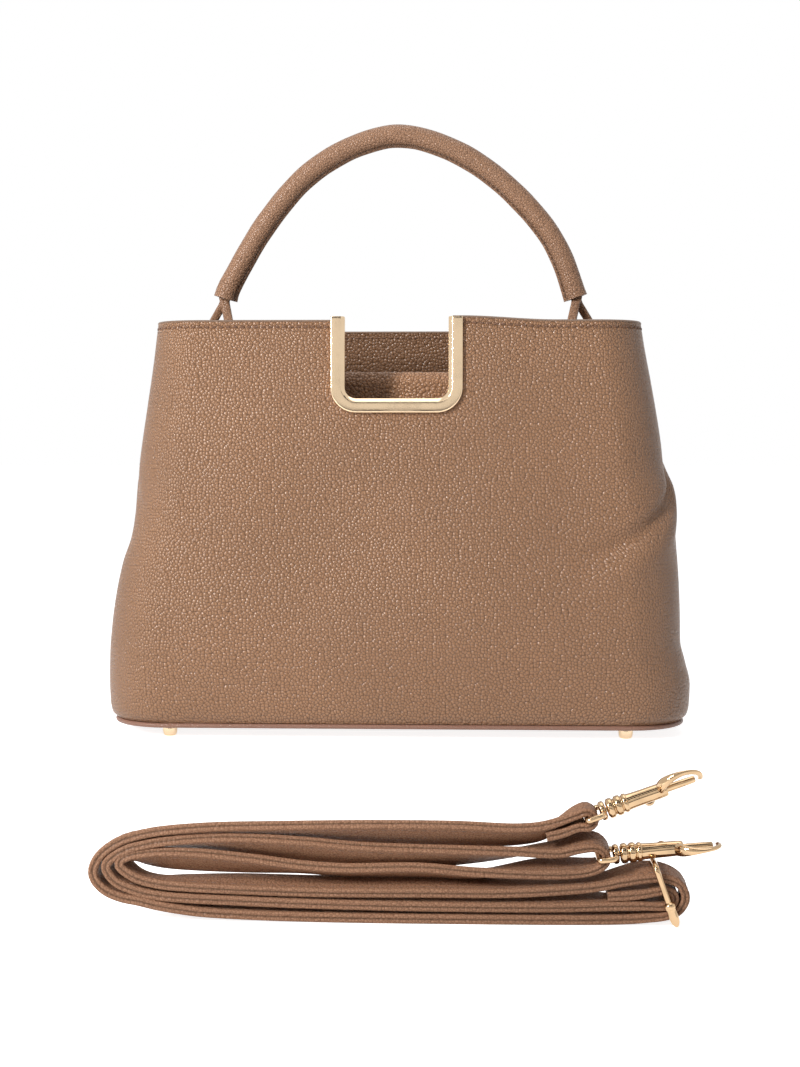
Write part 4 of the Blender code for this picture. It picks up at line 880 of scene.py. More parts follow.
def stitch_line(facing, inset, drop, inwards=False):
    """Places and directions of stitches at even steps along the wall, skipping the frame."""
    dense = np.linspace(*STITCHED, 2000)
    point, out = wall(dense, rim_height(dense, drop) - STITCH_DEPTH, facing, inset)
    line = spaced(np.concatenate([point, -out if inwards else out], axis=1), step=STITCH_PITCH)
    along = np.gradient(line[:, :3], axis=0)
    keep = np.ones(len(line), bool)
    if facing == FRONT:
        keep = notch_distance(line[:, 0], line[:, 2]) > STITCH_CLEAR
    return grains(line[keep, :3], along[keep], line[keep, 3:], STITCH_SIZE)


BEAD_END = 0.0318
NOTCH_S = FLAT_PART * BEAD_END / (LEFT_WIDTH[-1][1] - TOP_CORNER) / 2
beads = [rim_bead(0.0, 0.5 - NOTCH_S, FRONT, 0.0), rim_bead(0.5 + NOTCH_S, 1.0, FRONT, 0.0)]
make_piece("front_rim_paint", paint_finish, "bag_leather", *beads)
make_piece("back_rim_paint", paint_finish, "bag_leather", rim_bead(0.0, 1.0, BACK, BACK_RIM_DROP))
for word, facing, drop in SIDES:
    outside = stitch_line(facing, 0.00025, drop)
    inside = stitch_line(facing, STACK - 0.0001, drop, inwards=True)
    make_piece(word + "_rim_stitches", thread_finish, "bag_leather", outside, inside, sharp=80.0)


# %% [markdown]
# ## The base
#
# A flat panel with a stiff board on it, a rolled piping all round where the walls meet it, and four metal feet.
# A flat plate is a grid in rings: from its middle out to its edge, over the edge, and back to its middle.

# %% Base, lining and piping
FOOT_HEIGHT = 0.0060
BASE_WALL = 0.0020
PIPING_RADIUS = 0.0014
BOARD_TOP = FOOT_HEIGHT + BASE_WALL + GAP + 0.0020


def base_outline(inset, count=150):
    """The rounded rectangle of the walls at their bottom, front and back halves joined, seen from above."""
    s = np.linspace(0.0, 1.0, count)
    front, _ = wall(s, SHELL_BOTTOM, FRONT, inset)
    back, _ = wall(s[::-1], SHELL_BOTTOM, BACK, inset)
    return np.concatenate([front, back])[:, :2]


def flat_plate(inset, low, high, soft=0.0004):
    """A plate in rings: the share of the way out from the middle, and the height, of each ring."""
    outline = base_outline(inset)
    middle = outline.mean(axis=0)
    share = np.array([0.0, 0.5, 0.98, 1.0, 1.0, 0.98, 0.5, 0.0])
    height = np.array([low, low, low, low + soft, high - soft, high, high, high])
    flat = middle + (outline[None] - middle) * share[:, None, None]
    return tube(columns_of(flat[..., 0], flat[..., 1], height[:, None]))


edge = PIPING_RADIUS / 2
base = flat_plate(edge + PIPING_RADIUS + GAP, FOOT_HEIGHT, FOOT_HEIGHT + BASE_WALL)
make_piece("base_panel", piping_leather, "bag_leather", base)
base = flat_plate(CORE_OFFSET, BOARD_TOP + GAP, BOARD_TOP + GAP + LINING_WALL)
make_piece("base_lining", lining_cloth, "lining_fabric", base)
piping_line = columns_of(*base_outline(edge).T, FOOT_HEIGHT + PIPING_RADIUS + GAP)
piping_line = spaced(np.concatenate([piping_line, piping_line[:1]]), count=361)[:-1]
piping = tube(swept(piping_line, Z_AXIS, ring(PIPING_RADIUS, 14), closed=True), along=True)
make_piece("base_piping", piping_leather, "piping_leather", piping)


# %% [markdown]
# A foot is turned: a profile of heights and radii goes once round its axis. The profile of a real stud has no
# sharp corner, so each corner of the drawn one is cut twice (Chaikin's rule), which leaves a smooth curve.

# %% Turned parts and the feet
def cut_corners(points, times=2):
    """Chaikin's rule: each stretch keeps the points at a quarter and three quarters of its way."""
    points = np.asarray(points, float)
    for _ in range(times):
        start, end = points[:-1], points[1:]
        pair = np.stack([start * 0.75 + end * 0.25, start * 0.25 + end * 0.75], axis=1)
        points = np.concatenate([points[:1], pair.reshape(-1, points.shape[1]), points[-1:]])
    return points


def tenths(*rows):
    """A table given in tenths of a millimetre."""
    return np.array(rows) / 1e4


def turned(profile, origin, along, up, sides=32):
    """Rows of (distance along the axis, radius) turned once round an axis."""
    along = unit(np.asarray(along, float))
    across = unit(np.cross(up, along))
    top = np.cross(along, across)
    angle = full_turn(sides)[None, :, None]
    way, radius = np.split(np.asarray(profile, float)[..., None], 2, axis=1)
    return np.asarray(origin) + along * way + radius * (across * np.cos(angle) + top * np.sin(angle))


FOOT_X = 0.131
FOOT_Y = 0.0485
FOOT_PROFILE = tenths((0, 0), (0, 30), (4, 36), (22, 42), (50, 42), (57, 38), (57, 15), (102, 15), (102, 0))
for word, facing in FACINGS:
    for end_word, side in ENDS:
        origin = (side * FOOT_X, BAG_Y + facing * FOOT_Y, 0.0)
        foot = tube(turned(cut_corners(FOOT_PROFILE), origin, Z_AXIS, (0.0, -1.0, 0.0)))
        make_piece("foot_" + word + "_" + end_word, gold, "gold_metal", foot)


# %% [markdown]
# ## The centre compartment
#
# Its two walls roll over at the top, towards a zip between them. The roll shows through the notch as a soft
# rounded edge. The wall's profile, a line that ends in a quarter circle, is carried along the width.

# %% Compartment walls
POCKET_TOP = 0.211
POCKET_TOP_DEPTH = 0.030
POCKET_BASE_DEPTH = 0.044
POCKET_WALL = 0.0020
POCKET_ROLL = 0.0050
POCKET_SOFT_ROLL = 0.0095
POCKET_LIP = 0.0016
POCKET_BOTTOM = BOARD_TOP + GAP + LINING_WALL + GAP
ZIP_LEVEL = POCKET_TOP - POCKET_WALL - GAP


def pocket_depth(z):
    """Half the compartment's depth: it narrows evenly from its base to its top."""
    share = (z - POCKET_BOTTOM) / (POCKET_TOP - POCKET_BOTTOM)
    return (POCKET_BASE_DEPTH + (POCKET_TOP_DEPTH - POCKET_BASE_DEPTH) * share) / 2


def inside_reach(z, side):
    """Where the compartment ends beside the leaning side wall: a little less than the wall's half width."""
    share = (np.minimum(z, RIM_HEIGHT - SIDE_RIM_DROP) - SHELL_BOTTOM) / SHELL_HEIGHT
    table = LEFT_WIDTH if side < 0 else RIGHT_WIDTH
    return read_table(table, share) - CORE_OFFSET - FACING_WALL + LINING_WALL - POCKET_WALL - 2 * GAP


def pocket_profile(inset):
    """Distance from the middle and height: up the wall, a quarter of a tall ellipse, and the lip."""
    roll_z = POCKET_TOP - POCKET_SOFT_ROLL
    z = np.linspace(POCKET_BOTTOM, roll_z, 44)
    middle = pocket_depth(POCKET_TOP - POCKET_ROLL) - POCKET_ROLL
    wide = pocket_depth(roll_z) - middle - inset
    high = POCKET_SOFT_ROLL - inset
    straight = columns_of(pocket_depth(z) - inset, z)
    bend = (middle, roll_z) + arc(0.0, 0.5, 16)[1:] * (wide, high)
    lip = np.array([(middle - POCKET_LIP, POCKET_TOP - inset)])
    return np.concatenate([straight, bend, lip])


def pocket_wall(facing):
    """The profile carried along x, with a padded roll that is a little lower in the middle."""
    share = np.linspace(-1.0, 1.0, 161)[None]
    grids = []
    for inset in (0.0, POCKET_WALL):
        profile = pocket_profile(inset)
        d, z = profile[:, :1], profile[:, 1:]
        x = share * np.where(share < 0, inside_reach(z, -1), inside_reach(z, 1))
        sag = 0.0012 * (1 - share**4) * smoothstep(0.17, POCKET_TOP, z)
        wave = 0.0008 * np.sin(x * 55.0 + 0.6) * hump(z, 0.185, 0.02) * (1 - share**2)
        y = BAG_Y + facing * (d + wave)
        grids.append(columns_of(x, y, z - sag))
    return thick_part(*grids)


for word, facing in FACINGS:
    make_piece(f"pocket_{word}_wall", pocket_leather_painted_light, "bag_leather", pocket_wall(facing), sharp=60.0)
for word, side in ENDS:
    z = np.linspace(POCKET_BOTTOM, ZIP_LEVEL - 0.0010 - GAP, 60)[:, None]
    across = np.linspace(-1.0, 1.0, 12)[None]
    grids = []
    for offset in (POCKET_WALL + GAP, GAP):
        x = side * (inside_reach(z, side) + offset)
        grids.append(columns_of(x, BAG_Y + across * pocket_depth(z), z))
    make_piece(f"pocket_{word}_end", pocket_leather_painted_light, "bag_leather", thick_part(*grids))


# %% [markdown]
# ## The zip
#
# Two woven tapes, two rows of small metal teeth that mesh, a stop at each end and a leather panel beyond it.
# Each tooth is the same rounded block, placed many times by one array expression.

# %% Zip
ZIP_HALF = 0.090
TOOTH_EDGE = GAP / 2 + 0.0022
TOOTH_MIDDLE = ZIP_LEVEL - 0.0004
TOOTH_PITCH = 0.0020
TOOTH_SIZE = (0.0026, 0.0010, 0.0016)
STOP_SIZE = (0.0047, 0.0026, 0.0018)
TAPE_WALL = 0.0008
END_WALL = 0.0010
LIP_EDGE = pocket_depth(POCKET_TOP - POCKET_ROLL) - POCKET_ROLL - POCKET_LIP


def bar(low, high, sides=16, roundness=0.35):
    """A straight band with rounded edges between two corners, longest along x."""
    low, high = np.array(low, float), np.array(high, float)
    middle, half = (low + high) / 2, (high - low) / 2
    path = np.array([(x, middle[1], middle[2]) for x in np.linspace(low[0], high[0], 24)])
    return tube(capped(swept(path, Y_AXIS, soft_box(half[2], half[1], sides, roundness))))


for word, facing in FACINGS:
    y = sorted((BAG_Y + facing * (TOOTH_EDGE + GAP), BAG_Y + facing * (LIP_EDGE + 0.0020)))
    reach = ZIP_HALF + 0.0030
    tape = bar((-reach, y[0], ZIP_LEVEL - TAPE_WALL), (reach, y[1], ZIP_LEVEL))
    make_piece("zip_tape_" + word, tape_cloth, "zip_tape", tape)
    shift = 0.0 if facing < 0 else TOOTH_PITCH / 2
    x = np.arange(-ZIP_HALF + 0.0006, ZIP_HALF - 0.0004, TOOTH_PITCH) + shift
    x = x[x < ZIP_HALF - 0.0003]
    centres = columns_of(x, BAG_Y + facing * 0.0010, TOOTH_MIDDLE)
    teeth = grains(centres, Y_AXIS, Z_AXIS, TOOTH_SIZE, 0.4)
    make_piece("zip_teeth_" + word, zip_metal, "zip_metal", teeth, sharp=60.0)
for word, side in ENDS:
    centre = np.array([(side * (ZIP_HALF + 0.0017), BAG_Y, TOOTH_MIDDLE)])
    stop = grains(centre, Y_AXIS, Z_AXIS, STOP_SIZE, 0.35, 13, 20)
    make_piece("zip_stop_" + word, zip_metal, "zip_metal", stop, sharp=60.0)
    x = sorted((side * (ZIP_HALF + 0.0033), side * (inside_reach(ZIP_LEVEL, side) - GAP)))
    low = (x[0], BAG_Y - LIP_EDGE - 0.0020, ZIP_LEVEL - END_WALL)
    panel = bar(low, (x[1], BAG_Y + LIP_EDGE + 0.0020, ZIP_LEVEL))
    make_piece("zip_end_" + word, pocket_leather_painted_light, "bag_leather", panel)


# %% [markdown]
# ## The metal frame of the notch
#
# A cast frame has a flat face, a narrow rounded outer edge and a wider bevel on its inner edge. The
# section is a list of (distance outwards from the notch, distance out of the leather), carried round the U.

# %% Notch frame
FRAME_FACE = GAP + 0.0025
FRAME_SECTION = (
    (0.0, -STACK), (0.0012, -STACK), (0.0012, GAP), (0.0081, GAP), (0.0081, 0.0021), (0.00804, 0.00232),
    (0.00790, 0.00252), (0.00768, 0.00268), (0.0074, 0.00277), (0.0072, FRAME_FACE), (0.0050, FRAME_FACE),
    (0.0024, FRAME_FACE), (0.0021, 0.00272), (0.0003, 0.00130), (0.0, 0.0010),
)


def notch_line(offset, count=24):
    """The U of the notch, moved outwards by offset: two straights and two quarter circles."""
    half = FRAME_WIDTH / 2 - FRAME_BAND + offset
    low = FRAME_STAND_UP - FRAME_HEIGHT + FRAME_BAND - offset
    radius = FRAME_INNER_RADIUS + offset
    left = columns_of(-half, np.linspace(FRAME_STAND_UP, low + radius, count))
    bend = (radius - half, low + radius) + radius * arc(1.0, 1.5, count)[1:]
    side = np.concatenate([left, bend, columns_of(np.linspace(radius - half, 0.0, 12)[1:], low)])
    return np.concatenate([side, side[:-1][::-1] * (-1.0, 1.0)])


def blunt(grid, bevel=0.0004, shrink=0.93):
    """Closes the two ends of a carried section with a small bevel and a cap."""
    first, last = grid[0].copy(), grid[-1].copy()
    grid = grid.copy()
    for end, beside, tip in ((0, 1, first), (-1, -2, last)):
        ahead = grid[beside] - tip
        grid[end] = tip + ahead * (bevel / np.linalg.norm(ahead, axis=1, keepdims=True))
    small = [tip.mean(axis=0) + (tip - tip.mean(axis=0)) * shrink for tip in (first, last)]
    return capped(np.concatenate([small[0][None], grid, small[1][None]]))


def u_shape(section):
    """Each point of the section runs round its own U on the sloping front, from the middle of its rim."""
    origin = np.array([0.0, BAG_Y - TOP_DEPTH / 2, RIM_HEIGHT])
    rise = unit(np.array([0.0, LEAN, 1.0]))
    out = np.cross(X_AXIS, rise)
    lines = np.array([notch_line(offset) for offset, _ in section]).transpose(1, 0, 2)
    stand = np.array([proud for _, proud in section])[None, :, None]
    return origin + lines[..., :1] * X_AXIS + lines[..., 1:] * rise + stand * out


make_piece("notch_frame", gold, "gold_metal", tube(blunt(u_shape(FRAME_SECTION))), sharp=25.0)


# %% [markdown]
# ## The rolled handle
#
# A leather tube over a cord. Its two long edges are sewn together on the inside of the arch, which leaves a low
# ridge with a row of stitches. The arch runs through measured points and is a little fuller on the left.

# %% Handle
HANDLE_HALF_WIDTH = 0.1043
HANDLE_BOTTOM = 0.2537
HANDLE_TOP = 0.3491
HANDLE_ARCH = (
    (-1.0, 0.0), (-0.985, 0.052), (-0.94, 0.147), (-0.77, 0.455), (-0.54, 0.748), (-0.31, 0.912), (-0.10, 0.990),
    (0.0, 1.0), (0.14, 0.976), (0.37, 0.873), (0.595, 0.698), (0.82, 0.4355), (0.92, 0.247), (1.0, 0.0),
)
HANDLE_RADIUS = 0.0062
HANDLE_BORE = 0.0049
RIDGE_HEIGHT = 0.0011
SEAM_LEAN = 0.30
SEAM_PITCH = 0.0034
SEAM_STITCH = (0.0021, 0.0006, 0.0005)


def handle_line(step):
    """The arch's middle line: shares of the half width and of the height, turned into metres."""
    arch = np.array(HANDLE_ARCH)
    x = HANDLE_HALF_WIDTH * arch[:, 0]
    z = HANDLE_BOTTOM + (HANDLE_TOP - HANDLE_BOTTOM) * arch[:, 1]
    return curve(columns_of(x, BAG_Y, z), step=step)


path = handle_line(0.0016)
inward, across = frames(path, Y_AXIS)
turn = np.linspace(0.0, 1.0, 60, endpoint=False)
angle = 2 * np.pi * turn - 0.80 * np.sin(2 * np.pi * turn)
far_round = np.minimum(angle, 2 * np.pi - angle)
ridge = RIDGE_HEIGHT * hump(far_round, 0.0, 0.17) - 0.0003 * hump(far_round, 0.42, 0.10)
along = np.concatenate([[0.0], np.cumsum(np.linalg.norm(np.diff(path, axis=0), axis=1))])
to_end = np.minimum(along, along[-1] - along)
flare = 0.0005 * np.exp(-to_end / 0.004)
wrinkle = 0.00010 * np.sin(along / 0.0045) * np.sin(along / 0.0117 + 1.0)
radius = HANDLE_RADIUS + ridge[None] + (flare + wrinkle)[:, None]
section = radius[..., None] * round_points(angle)
outer = carry(path, inward, across, section)
bore = carry(path, inward, across, section * (HANDLE_BORE / radius)[..., None])
shadow = np.tile(0.9 * hump(far_round, 0.36, 0.07), (len(path), 1))
shadow = np.concatenate([shadow, np.full(shadow.shape, 0.3)])
cover = tube(np.concatenate([outer, bore[::-1]]), along=True)
make_piece("handle_cover", handle_leather, "handle_leather", cover, body="handle", sharp=50.0, shadow=shadow)
core = tube(capped(swept(spaced(path[6:-6], count=90), Y_AXIS, ring(HANDLE_BORE - GAP, 20))))
make_piece("handle_core", tape_cloth, "handle_cord", core, body="handle")
seam_line = spaced(np.concatenate([path, inward], axis=1), step=SEAM_PITCH)[1:-1]
for word, facing in FACINGS:
    out = seam_line[:, 3:] * math.cos(SEAM_LEAN) + np.array([0.0, facing, 0.0]) * math.sin(SEAM_LEAN)
    spots = seam_line[:, :3] + out * (HANDLE_RADIUS + 0.00045)
    line = grains(spots, np.gradient(spots, axis=0), out, SEAM_STITCH)
    make_piece("handle_stitches_" + word, thread_finish, "handle_leather", line, body="handle", sharp=80.0)


# %% [markdown]
# Each end of the tube holds two rolled strips, one sewn to the front of the compartment and one to its back.

# %% Handle legs
LEG_WIDTH = 0.0065
LEG_WALL = 0.0026
LEG_TOP = 0.2500


def leg_line(side, facing):
    """Places down a leg, from inside the tube to the compartment wall, through the CAD's own route."""
    clear = LEG_WALL / 2 + GAP
    spread = 0.0115 if facing == BACK else -0.00425
    top = HANDLE_BOTTOM - 2 * GAP
    roll_z = POCKET_TOP - POCKET_ROLL
    sewn = roll_z - 0.030
    lower = pocket_depth(sewn) + clear + GAP
    upper = pocket_depth(roll_z - 0.006) + clear + GAP
    free = top - roll_z
    route = np.array([
        (0.0, clear, top + 0.004), (0.0, clear, top), (0.30, clear + 0.0012, top - 0.006),
        (0.90, (clear + upper) * 0.45, top - free * 0.38), (1.0, upper * 0.86, top - free * 0.68),
        (1.0, upper + 0.0012, roll_z + 0.003), (1.0, upper, roll_z - 0.006), (1.0, lower, sewn),
    ])
    x = side * (HANDLE_HALF_WIDTH + spread * route[:, 0])
    return curve(columns_of(x, BAG_Y + facing * route[:, 1], route[:, 2]), step=0.0012)


for end_word, side in ENDS:
    for word, facing in FACINGS:
        path = leg_line(side, facing)
        free = smoothstep(0.196, 0.212, path[:, 2]) * smoothstep(0.2545, LEG_TOP, path[:, 2])
        half_high = LEG_WALL / 2 + 0.0007 * free
        half_wide = LEG_WIDTH / 2 - 0.0005 * free
        sides = 22
        section = soft_box(1.0, 1.0, sides, 0.62)[None] * columns_of(half_high, half_wide)[:, None]
        strip = blunt(swept(path, X_AXIS, section), 0.0003, 0.8)
        # Painted shade along the seam of each rolled strip, carried by the shadow mark.
        seam = hump(np.abs(np.arange(sides) - sides / 2) / sides, 0.5, 0.03) * 0.8
        leg = make_piece(
            f"handle_leg_{word}_{end_word}", handle_leather, "handle_leather", tube(strip), body=None,
            sharp=50.0, shadow=np.tile(seam, (len(strip), 1)),
        )
        x = side * HANDLE_HALF_WIDTH
        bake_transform(leg)


# %% [markdown]
# ## D-rings and their tabs
#
# A ring is round wire bent to a rounded rectangle: a circle carried round a closed path of four straights and
# four quarter circles. The leather tab is a band folded over the ring's straight side.

# %% D-rings and tabs
RING_LOW = ZIP_LEVEL + GAP
D_WIRE = 0.0012
D_LENGTH = 0.0125
D_WIDTH = 0.0140
D_CORNERS = (0.0014, 0.0055)
TAB_HALF = 0.0055
TAB_WALL = 0.0012
D_BAR_Z = RING_LOW + D_WIRE


def ring_outline(length, half_inside, wire, near, far, step=0.0004):
    """A rounded rectangle of (along, across): its bar at along = 0, its far side at along = length."""
    half = half_inside + wire
    corners = (
        (length - far, half - far, 0.0, far), (near, half - near, 0.5, near),
        (near, near - half, 1.0, near), (length - far, far - half, 1.5, far),
    )
    rounds = [(way, aside) + corner * arc(start, start + 0.5, 16) for way, aside, start, corner in corners]
    line = np.concatenate(rounds + [rounds[0][:1]])
    return spaced(columns_of(*line.T, 0.0), step)[:-1]


def wire_ring(length, inside, wire, corners, place, sides=14):
    """Round wire along a ring outline, carried to its place by (origin, along, across, top)."""
    line = ring_outline(length, inside / 2, wire, *corners)
    return tube(carried(swept(line, Z_AXIS, ring(wire, sides), closed=True), place), along=True)


def carried(points, place):
    """Points in a piece's own axes, moved to the set: origin + x along + y across + z top."""
    origin, along, across, top = (np.asarray(v, float) for v in place)
    return origin + points[..., :1] * along + points[..., 1:2] * across + points[..., 2:] * top


for word, side in ENDS:
    low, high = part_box("d_ring_" + word)
    bar_x = high.x - D_WIRE if side < 0 else low.x + D_WIRE
    axes = ((side, 0.0, 0.0), (0.0, side, 0.0), Z_AXIS)
    place = ((bar_x, BAG_Y, D_BAR_Z), *axes)
    d_ring = wire_ring(D_LENGTH, D_WIDTH - 2 * D_WIRE, D_WIRE, D_CORNERS, place)
    make_piece("d_ring_" + word, gold, "gold_metal", d_ring, body="d_ring_" + word)
    inner = D_WIRE + GAP
    bend = inner + TAB_WALL / 2
    over = (0.0, D_WIRE) + bend * arc(1.0, 0.0, 14)
    flange = [(-inner - back, TAB_WALL / 2) for back in (0.0072, 0.0036, 0.0012)]
    line = np.concatenate([flange, [(-bend, 0.0010)], over, [(bend, 0.0004)]])
    line = spaced(columns_of(line[:, 0], 0.0, line[:, 1]), 0.0003)
    tab = blunt(swept(line, Y_AXIS, soft_box(TAB_WALL / 2, TAB_HALF, 20, 0.45)), 0.0002, 0.9)
    tab = tube(carried(tab, ((bar_x, BAG_Y, RING_LOW), *axes)))
    make_piece("d_ring_tab_" + word, facing_leather_shaded, "bag_leather", tab)


# %% [markdown]
# ## The shoulder strap
#
# One long band of two leather layers, sewn together along both edges, lies folded on its side. Seen from the
# front its edges make pairs of light beads with a dark line between them: a groove, darkened with painted shade.
# In the upper folds the band leans: its front edge stays on the route and its back edge drops, which shows its
# face. The route below holds x and z of the front edge in tenths of a millimetre, and the lean in degrees.

# %% Route of the strap
STRAP_Y = -0.23995
STRAP_SHIFT = 0.016
STRAP_WIDTH = 0.0122
STRAP_WALL = 0.0031
STRAP_ROUTE = (
    (528, 324, -6), (590, 338, -4), (645, 358, -2), (682, 359, 0), (700, 376, 0), (699, 398, 0),
    (676, 414, 0), (640, 404, 1), (585, 384, 10), (520, 368, 30), (430, 360, 38), (200, 369, 46),
    (-100, 369, 44), (-400, 362, 36), (-720, 350, 25), (-920, 325, 13), (-1030, 288, 7), (-1098, 232, 4),
    (-1118, 180, 3), (-1108, 146, 2), (-1070, 109, 0), (-1012, 85, 0), (-955, 74, 0), (-876, 56, 0),
    (-797, 43, 0), (-720, 34, 0), (-500, 24, 0), (-200, 19, 0), (200, 18, 0), (600, 19, 0), (800, 23, 0),
    (890, 29, 0), (958, 37, 0), (1004, 56, 0), (1029, 102, 0), (1010, 150, -3), (955, 173, -9),
    (880, 170, -14), (800, 157, -9), (720, 141, -4), (600, 128, -4), (400, 115, -6), (70, 112, -10),
    (-300, 110, -11), (-600, 118, -9), (-797, 128, -1), (-876, 137, 5), (-950, 155, 5), (-1000, 182, 0),
    (-1022, 207, -2), (-1006, 232, -10), (-945, 252, -27), (-860, 261, -38), (-720, 258, -41),
    (-540, 240, -34), (-360, 216, -22), (-200, 206, -22), (70, 211, -25), (280, 194, -18), (500, 183, 10),
    (620, 185, 12), (680, 193, 8), (722, 209, 2), (744, 234, 0), (738, 266, -4), (708, 281, -12),
    (650, 276, -14), (580, 262, -6), (500, 264, 4), (430, 270, 14), (250, 277, 32), (70, 282, 43),
    (-150, 290, 46), (-360, 307, 46), (-600, 316, 40), (-780, 306, 26), (-920, 284, 10), (-1012, 255, 4),
    (-1070, 202, 3), (-1038, 146, 2), (-955, 109, 0), (-876, 93, 0), (-797, 86, 0), (-600, 78, 0),
    (-360, 70, 0), (70, 63, 2), (430, 62, 6), (600, 64, 9), (720, 69, 5), (800, 72, 0), (880, 73, 0),
    (962, 73, 0), (985, 84, 0), (991, 102, 0), (982, 122, 0), (962, 130, 0), (930, 126, 0), (890, 118, 0),
    (820, 110, 0), (750, 106, 0),
)
STRAP_BARS = tenths((674, 386), (718, 243), (962, 102))
# The lean goes along the curve as a fourth number, made small so that it adds nothing to distances
LEAN_WEIGHT = 1e5
route = np.array(STRAP_ROUTE) / (1e4, 1e4, 1.0)
front_x = route[:, 0] + STRAP_SHIFT
strap_line = curve(columns_of(front_x, STRAP_Y, route[:, 1], route[:, 2] / LEAN_WEIGHT), step=0.0013)
print("strap length", round(float(np.linalg.norm(np.diff(strap_line[:, :3], axis=0), axis=1).sum()), 3))


# %% Strap
STRAP_STITCH = (0.0024, 0.0006, 0.0004)
STRAP_PITCH = 0.0036
STRAP_SEAM = STRAP_WIDTH / 2 - 0.0019


def strap_section():
    """Half circles for the rounded edges of two layers, with a groove between the layers on both sides.
    It also gives each point's painted shade, dark in the grooves, for the shadow mark.
    """
    layer = STRAP_WALL / 4
    half = STRAP_WIDTH / 2
    angle = np.linspace(-0.5 * np.pi, 0.5 * np.pi, 7)
    bead = columns_of(layer * np.sin(angle), half - layer * (1 - np.cos(angle)) * 0.9)
    right = np.concatenate([bead[:-1] - (layer, 0.0), bead[1:] + (layer, 0.0)])
    shadow = np.array([0, 0, 0, 0, 0.1, 0.75, 0.75, 0.1, 0, 0, 0, 0])
    top = np.array([(2 * layer, w) for w in np.linspace(half * 0.85, -half * 0.85, 9)])
    section = np.concatenate([right, top, -right, -top])
    return section, np.concatenate([shadow, np.zeros(9), shadow, np.zeros(9)])


path = strap_line[:, :3]
normal, across = frames(path, Y_AXIS)
lean = np.radians(strap_line[:, 3:] * LEAN_WEIGHT)
tilted_across = across * np.cos(lean) - normal * np.sin(lean)
tilted_normal = normal * np.cos(lean) + across * np.sin(lean)
path = path + (tilted_across - across) * STRAP_WIDTH / 2
# groove holds the painted shade in the grooves between the layers, which the shadow mark carries.
section, groove = strap_section()
to_bars = [np.hypot(path[:, 0] - STRAP_SHIFT - x, path[:, 2] - z) for x, z in STRAP_BARS]
plump = 1.0 + 0.14 * smoothstep(0.005, 0.014, np.min(to_bars, axis=0))
plump_section = section[None] * columns_of(plump, 1.0)[:, None]
band = carry(path, tilted_normal, tilted_across, plump_section)
band[..., 2] = np.maximum(band[..., 2], 0.00002)
shadow = np.tile(groove, (len(path) + 2, 1))
make_piece("strap", strap_leather, "strap_leather", tube(capped(band)), sharp=60.0, shadow=shadow)
strap_rows = []
for edge_side in (-1.0, 1.0):
    for face_side in (-1.0, 1.0):
        depth = face_side * (plump[:, None] * STRAP_WALL / 2 - 0.0001)
        spots = path + tilted_across * edge_side * STRAP_SEAM + tilted_normal * depth
        line = spaced(np.concatenate([spots, tilted_normal * face_side], axis=1), step=STRAP_PITCH)[1:-1]
        ahead = np.gradient(line[:, :3], axis=0)
        strap_rows.append(grains(line[:, :3], ahead, line[:, 3:], STRAP_STITCH, 0.6, 5, 6))
make_piece("strap_stitches", thread_finish, "strap_leather", *strap_rows, sharp=80.0)


# %% [markdown]
# ## The two hooks and the buckle
#
# A bolt snap: an eye that the strap runs through, a beaded body that turns on it, a claw that curls over, and a
# bolt with a thumb stud that closes the claw. Every part but the claw and the eye is turned on a lathe.

# %% Hooks
RING_WIRE = 0.0011
RING_INSIDE = 0.0130 + 0.0008
EYE_LENGTH = 0.0062
BUCKLE_LENGTH = 0.0224
BUCKLE_BAR = 0.0096
TUBE_PROFILE = tenths(
    (79, 26), (85, 37), (103, 37), (109, 27), (115, 37), (133, 37), (139, 28), (144, 35), (156, 35),
    (161, 28), (300, 28), (308, 23),
)
CLAW = tenths((284, 18), (304, 48), (340, 67), (380, 69), (414, 54), (432, 30), (436, 8), (434, -10))
BOSS = tenths((52, 0), (52, 30), (58, 36), (70, 36), (76, 30), (76, 9))
STEM_END = tenths((127, 9), (127, 14), (140, 14), (140, 0))
KNOB = tenths((0, 0), (0, 10), (34, 10), (34, 22), (48, 22), (54, 15), (54, 0))
EYE_CORNERS = (0.0014, 0.0020)
WIRE = 0.0014
BORE = 0.00175
NECK = 0.0124
BOLT = 0.0014
STUD = 0.0235
TIP = 0.0416


def hook_axes(bar_x, bar_z, lean, roll):
    """The eye's axes and the turned body's axes: along the hook, across it, and towards its opening."""
    lean, roll = math.radians(lean), math.radians(roll)
    along = np.array([math.cos(lean), 0.0, math.sin(lean)])
    across = np.array(Y_AXIS)
    top = np.cross(along, across)
    origin = np.array([bar_x + STRAP_SHIFT, STRAP_Y, bar_z])
    turned_across = across * math.cos(roll) + top * math.sin(roll)
    return (origin, along, across, top), (origin, along, turned_across, np.cross(along, turned_across))


def hook_tube(place):
    """A beaded tube with a slot: a profile turned round the axis, a straight bore inside it."""
    outline = cut_corners(TUBE_PROFILE, 2)
    origin, along, _, top = place
    inside = columns_of(outline[:, 0], np.where(outline[:, 0] < NECK, 0.0012, BORE))
    outer = turned(outline, origin, along, top, 48)
    inner = turned(inside, origin, along, top, 48)
    middle = (outline[:-1, 0] + outline[1:, 0]) / 2
    angle = (np.arange(48) + 0.5) * 2 * np.pi / 48
    below = np.abs(angle - 1.5 * np.pi) < 0.45
    in_slot = (middle > STUD - 0.0056) & (middle < STUD + 0.0013)
    return thick_part(outer, inner, ~(in_slot[:, None] & below[None]), around=True)


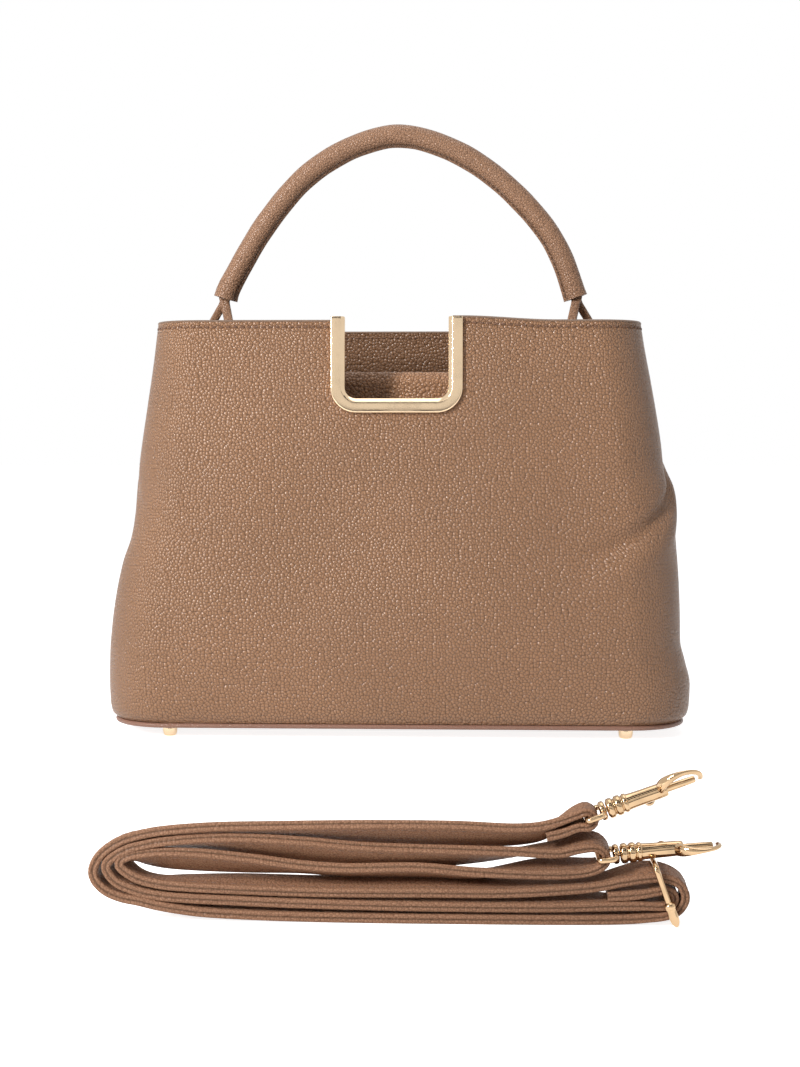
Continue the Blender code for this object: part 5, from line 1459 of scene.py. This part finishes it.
def build_hook(letter, axes):
    """Eye, body and bolt, each one riding on its own CAD body."""
    fixed, place = axes
    origin, along, _, top = fixed
    stem = np.concatenate([cut_corners(BOSS, 1), STEM_END])
    eye = wire_ring(EYE_LENGTH, RING_INSIDE, RING_WIRE, EYE_CORNERS, fixed)
    claw_line = curve(columns_of(CLAW[:, 0], 0.0, CLAW[:, 1]), step=0.0004)
    claw_share = np.linspace(0.0, 1.0, len(claw_line))
    high = WIRE * (1.00 - 0.28 * claw_share)
    wide = WIRE * (1.70 - 1.15 * smoothstep(0.0, 0.60, claw_share))
    section = ring(1.0, 18)[None] * columns_of(high, wide)[:, None]
    claw = carried(blunt(swept(claw_line, Y_AXIS, section), 0.0004, 0.7), place)
    rod = cut_corners(((0.0209, 0.0), (0.0209, BOLT), (0.0410, BOLT), (TIP, 0.0009), (TIP, 0.0)), 1)
    start, ahead, _, opening = place
    bolt = tube(turned(rod, start, ahead, opening, 24))
    knob = tube(turned(cut_corners(KNOB, 1), start + ahead * STUD, -opening, ahead, 24))
    parts = {
        "eye": (eye, tube(turned(stem, origin, along, top, 20))),
        "body": (hook_tube(place), tube(claw)),
        "bolt": (bolt, knob),
    }
    for word, solids in parts.items():
        name = f"hook_{letter}_{word}"
        make_piece(name, hook_gold_painted_shade, "gold_metal", *solids, body=name)


build_hook("a", hook_axes(*STRAP_BARS[0], 20.0, 50.0))
build_hook("b", hook_axes(*STRAP_BARS[1], 6.0, 90.0))


# %% Buckle
BUCKLE_LEAN = math.radians(20.0)
bar_place = np.array([STRAP_BARS[2][0] + STRAP_SHIFT, STRAP_Y, STRAP_BARS[2][1]])
buckle_up = np.array([-math.sin(BUCKLE_LEAN), 0.0, math.cos(BUCKLE_LEAN)])
buckle_foot = bar_place - BUCKLE_BAR * buckle_up
buckle_across = unit(np.cross(X_AXIS, buckle_up))
buckle_axes = (buckle_foot, buckle_up, buckle_across, np.cross(buckle_up, buckle_across))
half = RING_INSIDE / 2 + RING_WIRE
crossbar = ((-half, 0.0), (-half, RING_WIRE), (half, RING_WIRE), (half, 0.0))
buckle = [wire_ring(BUCKLE_LENGTH, RING_INSIDE, RING_WIRE, EYE_CORNERS, buckle_axes)]
buckle.append(tube(turned(crossbar, bar_place, Y_AXIS, buckle_up, 20)))
SLEEVE = tenths(
    (-2, 0), (-2, 9), (12, 16), (30, 18), (62, 17), (66, 21), (80, 21), (85, 16), (90, 10), (90, 0),
)
front_rod = buckle_foot - np.array([0.0, half, 0.0])
buckle.append(tube(turned(cut_corners(SLEEVE, 1), front_rod, buckle_up, Y_AXIS, 28)))
make_piece("strap_buckle", hook_gold_painted_shade, "gold_metal", *buckle)


# %% [markdown]
# ## Parts that keep their CAD shape
#
# Screws, the plate behind the frame, the stiffener board, the slider with its pull and the springs are already
# right: they only get a finish.

# %% Finishes of the kept parts
board_finish = cloth("stiffener_board", (0.180, 0.150, 0.120), 400.0, 0.00005)
kept = {"base_board": board_finish, "frame_back_plate": gold, "zip_slider": zip_metal, "zip_pull": zip_metal}
kept.update({f"frame_screw_{i}": zip_metal for i in (1, 2, 3, 4)})
kept.update({"hook_a_spring": steel, "hook_b_spring": steel})
for name, finish in kept.items():
    frame["nodes"][name].data.materials.clear()
    frame["nodes"][name].data.materials.append(finish)
shown = sorted(n for n, node in frame["nodes"].items() if not node.hide_render)
print("CAD nodes that show:", shown)
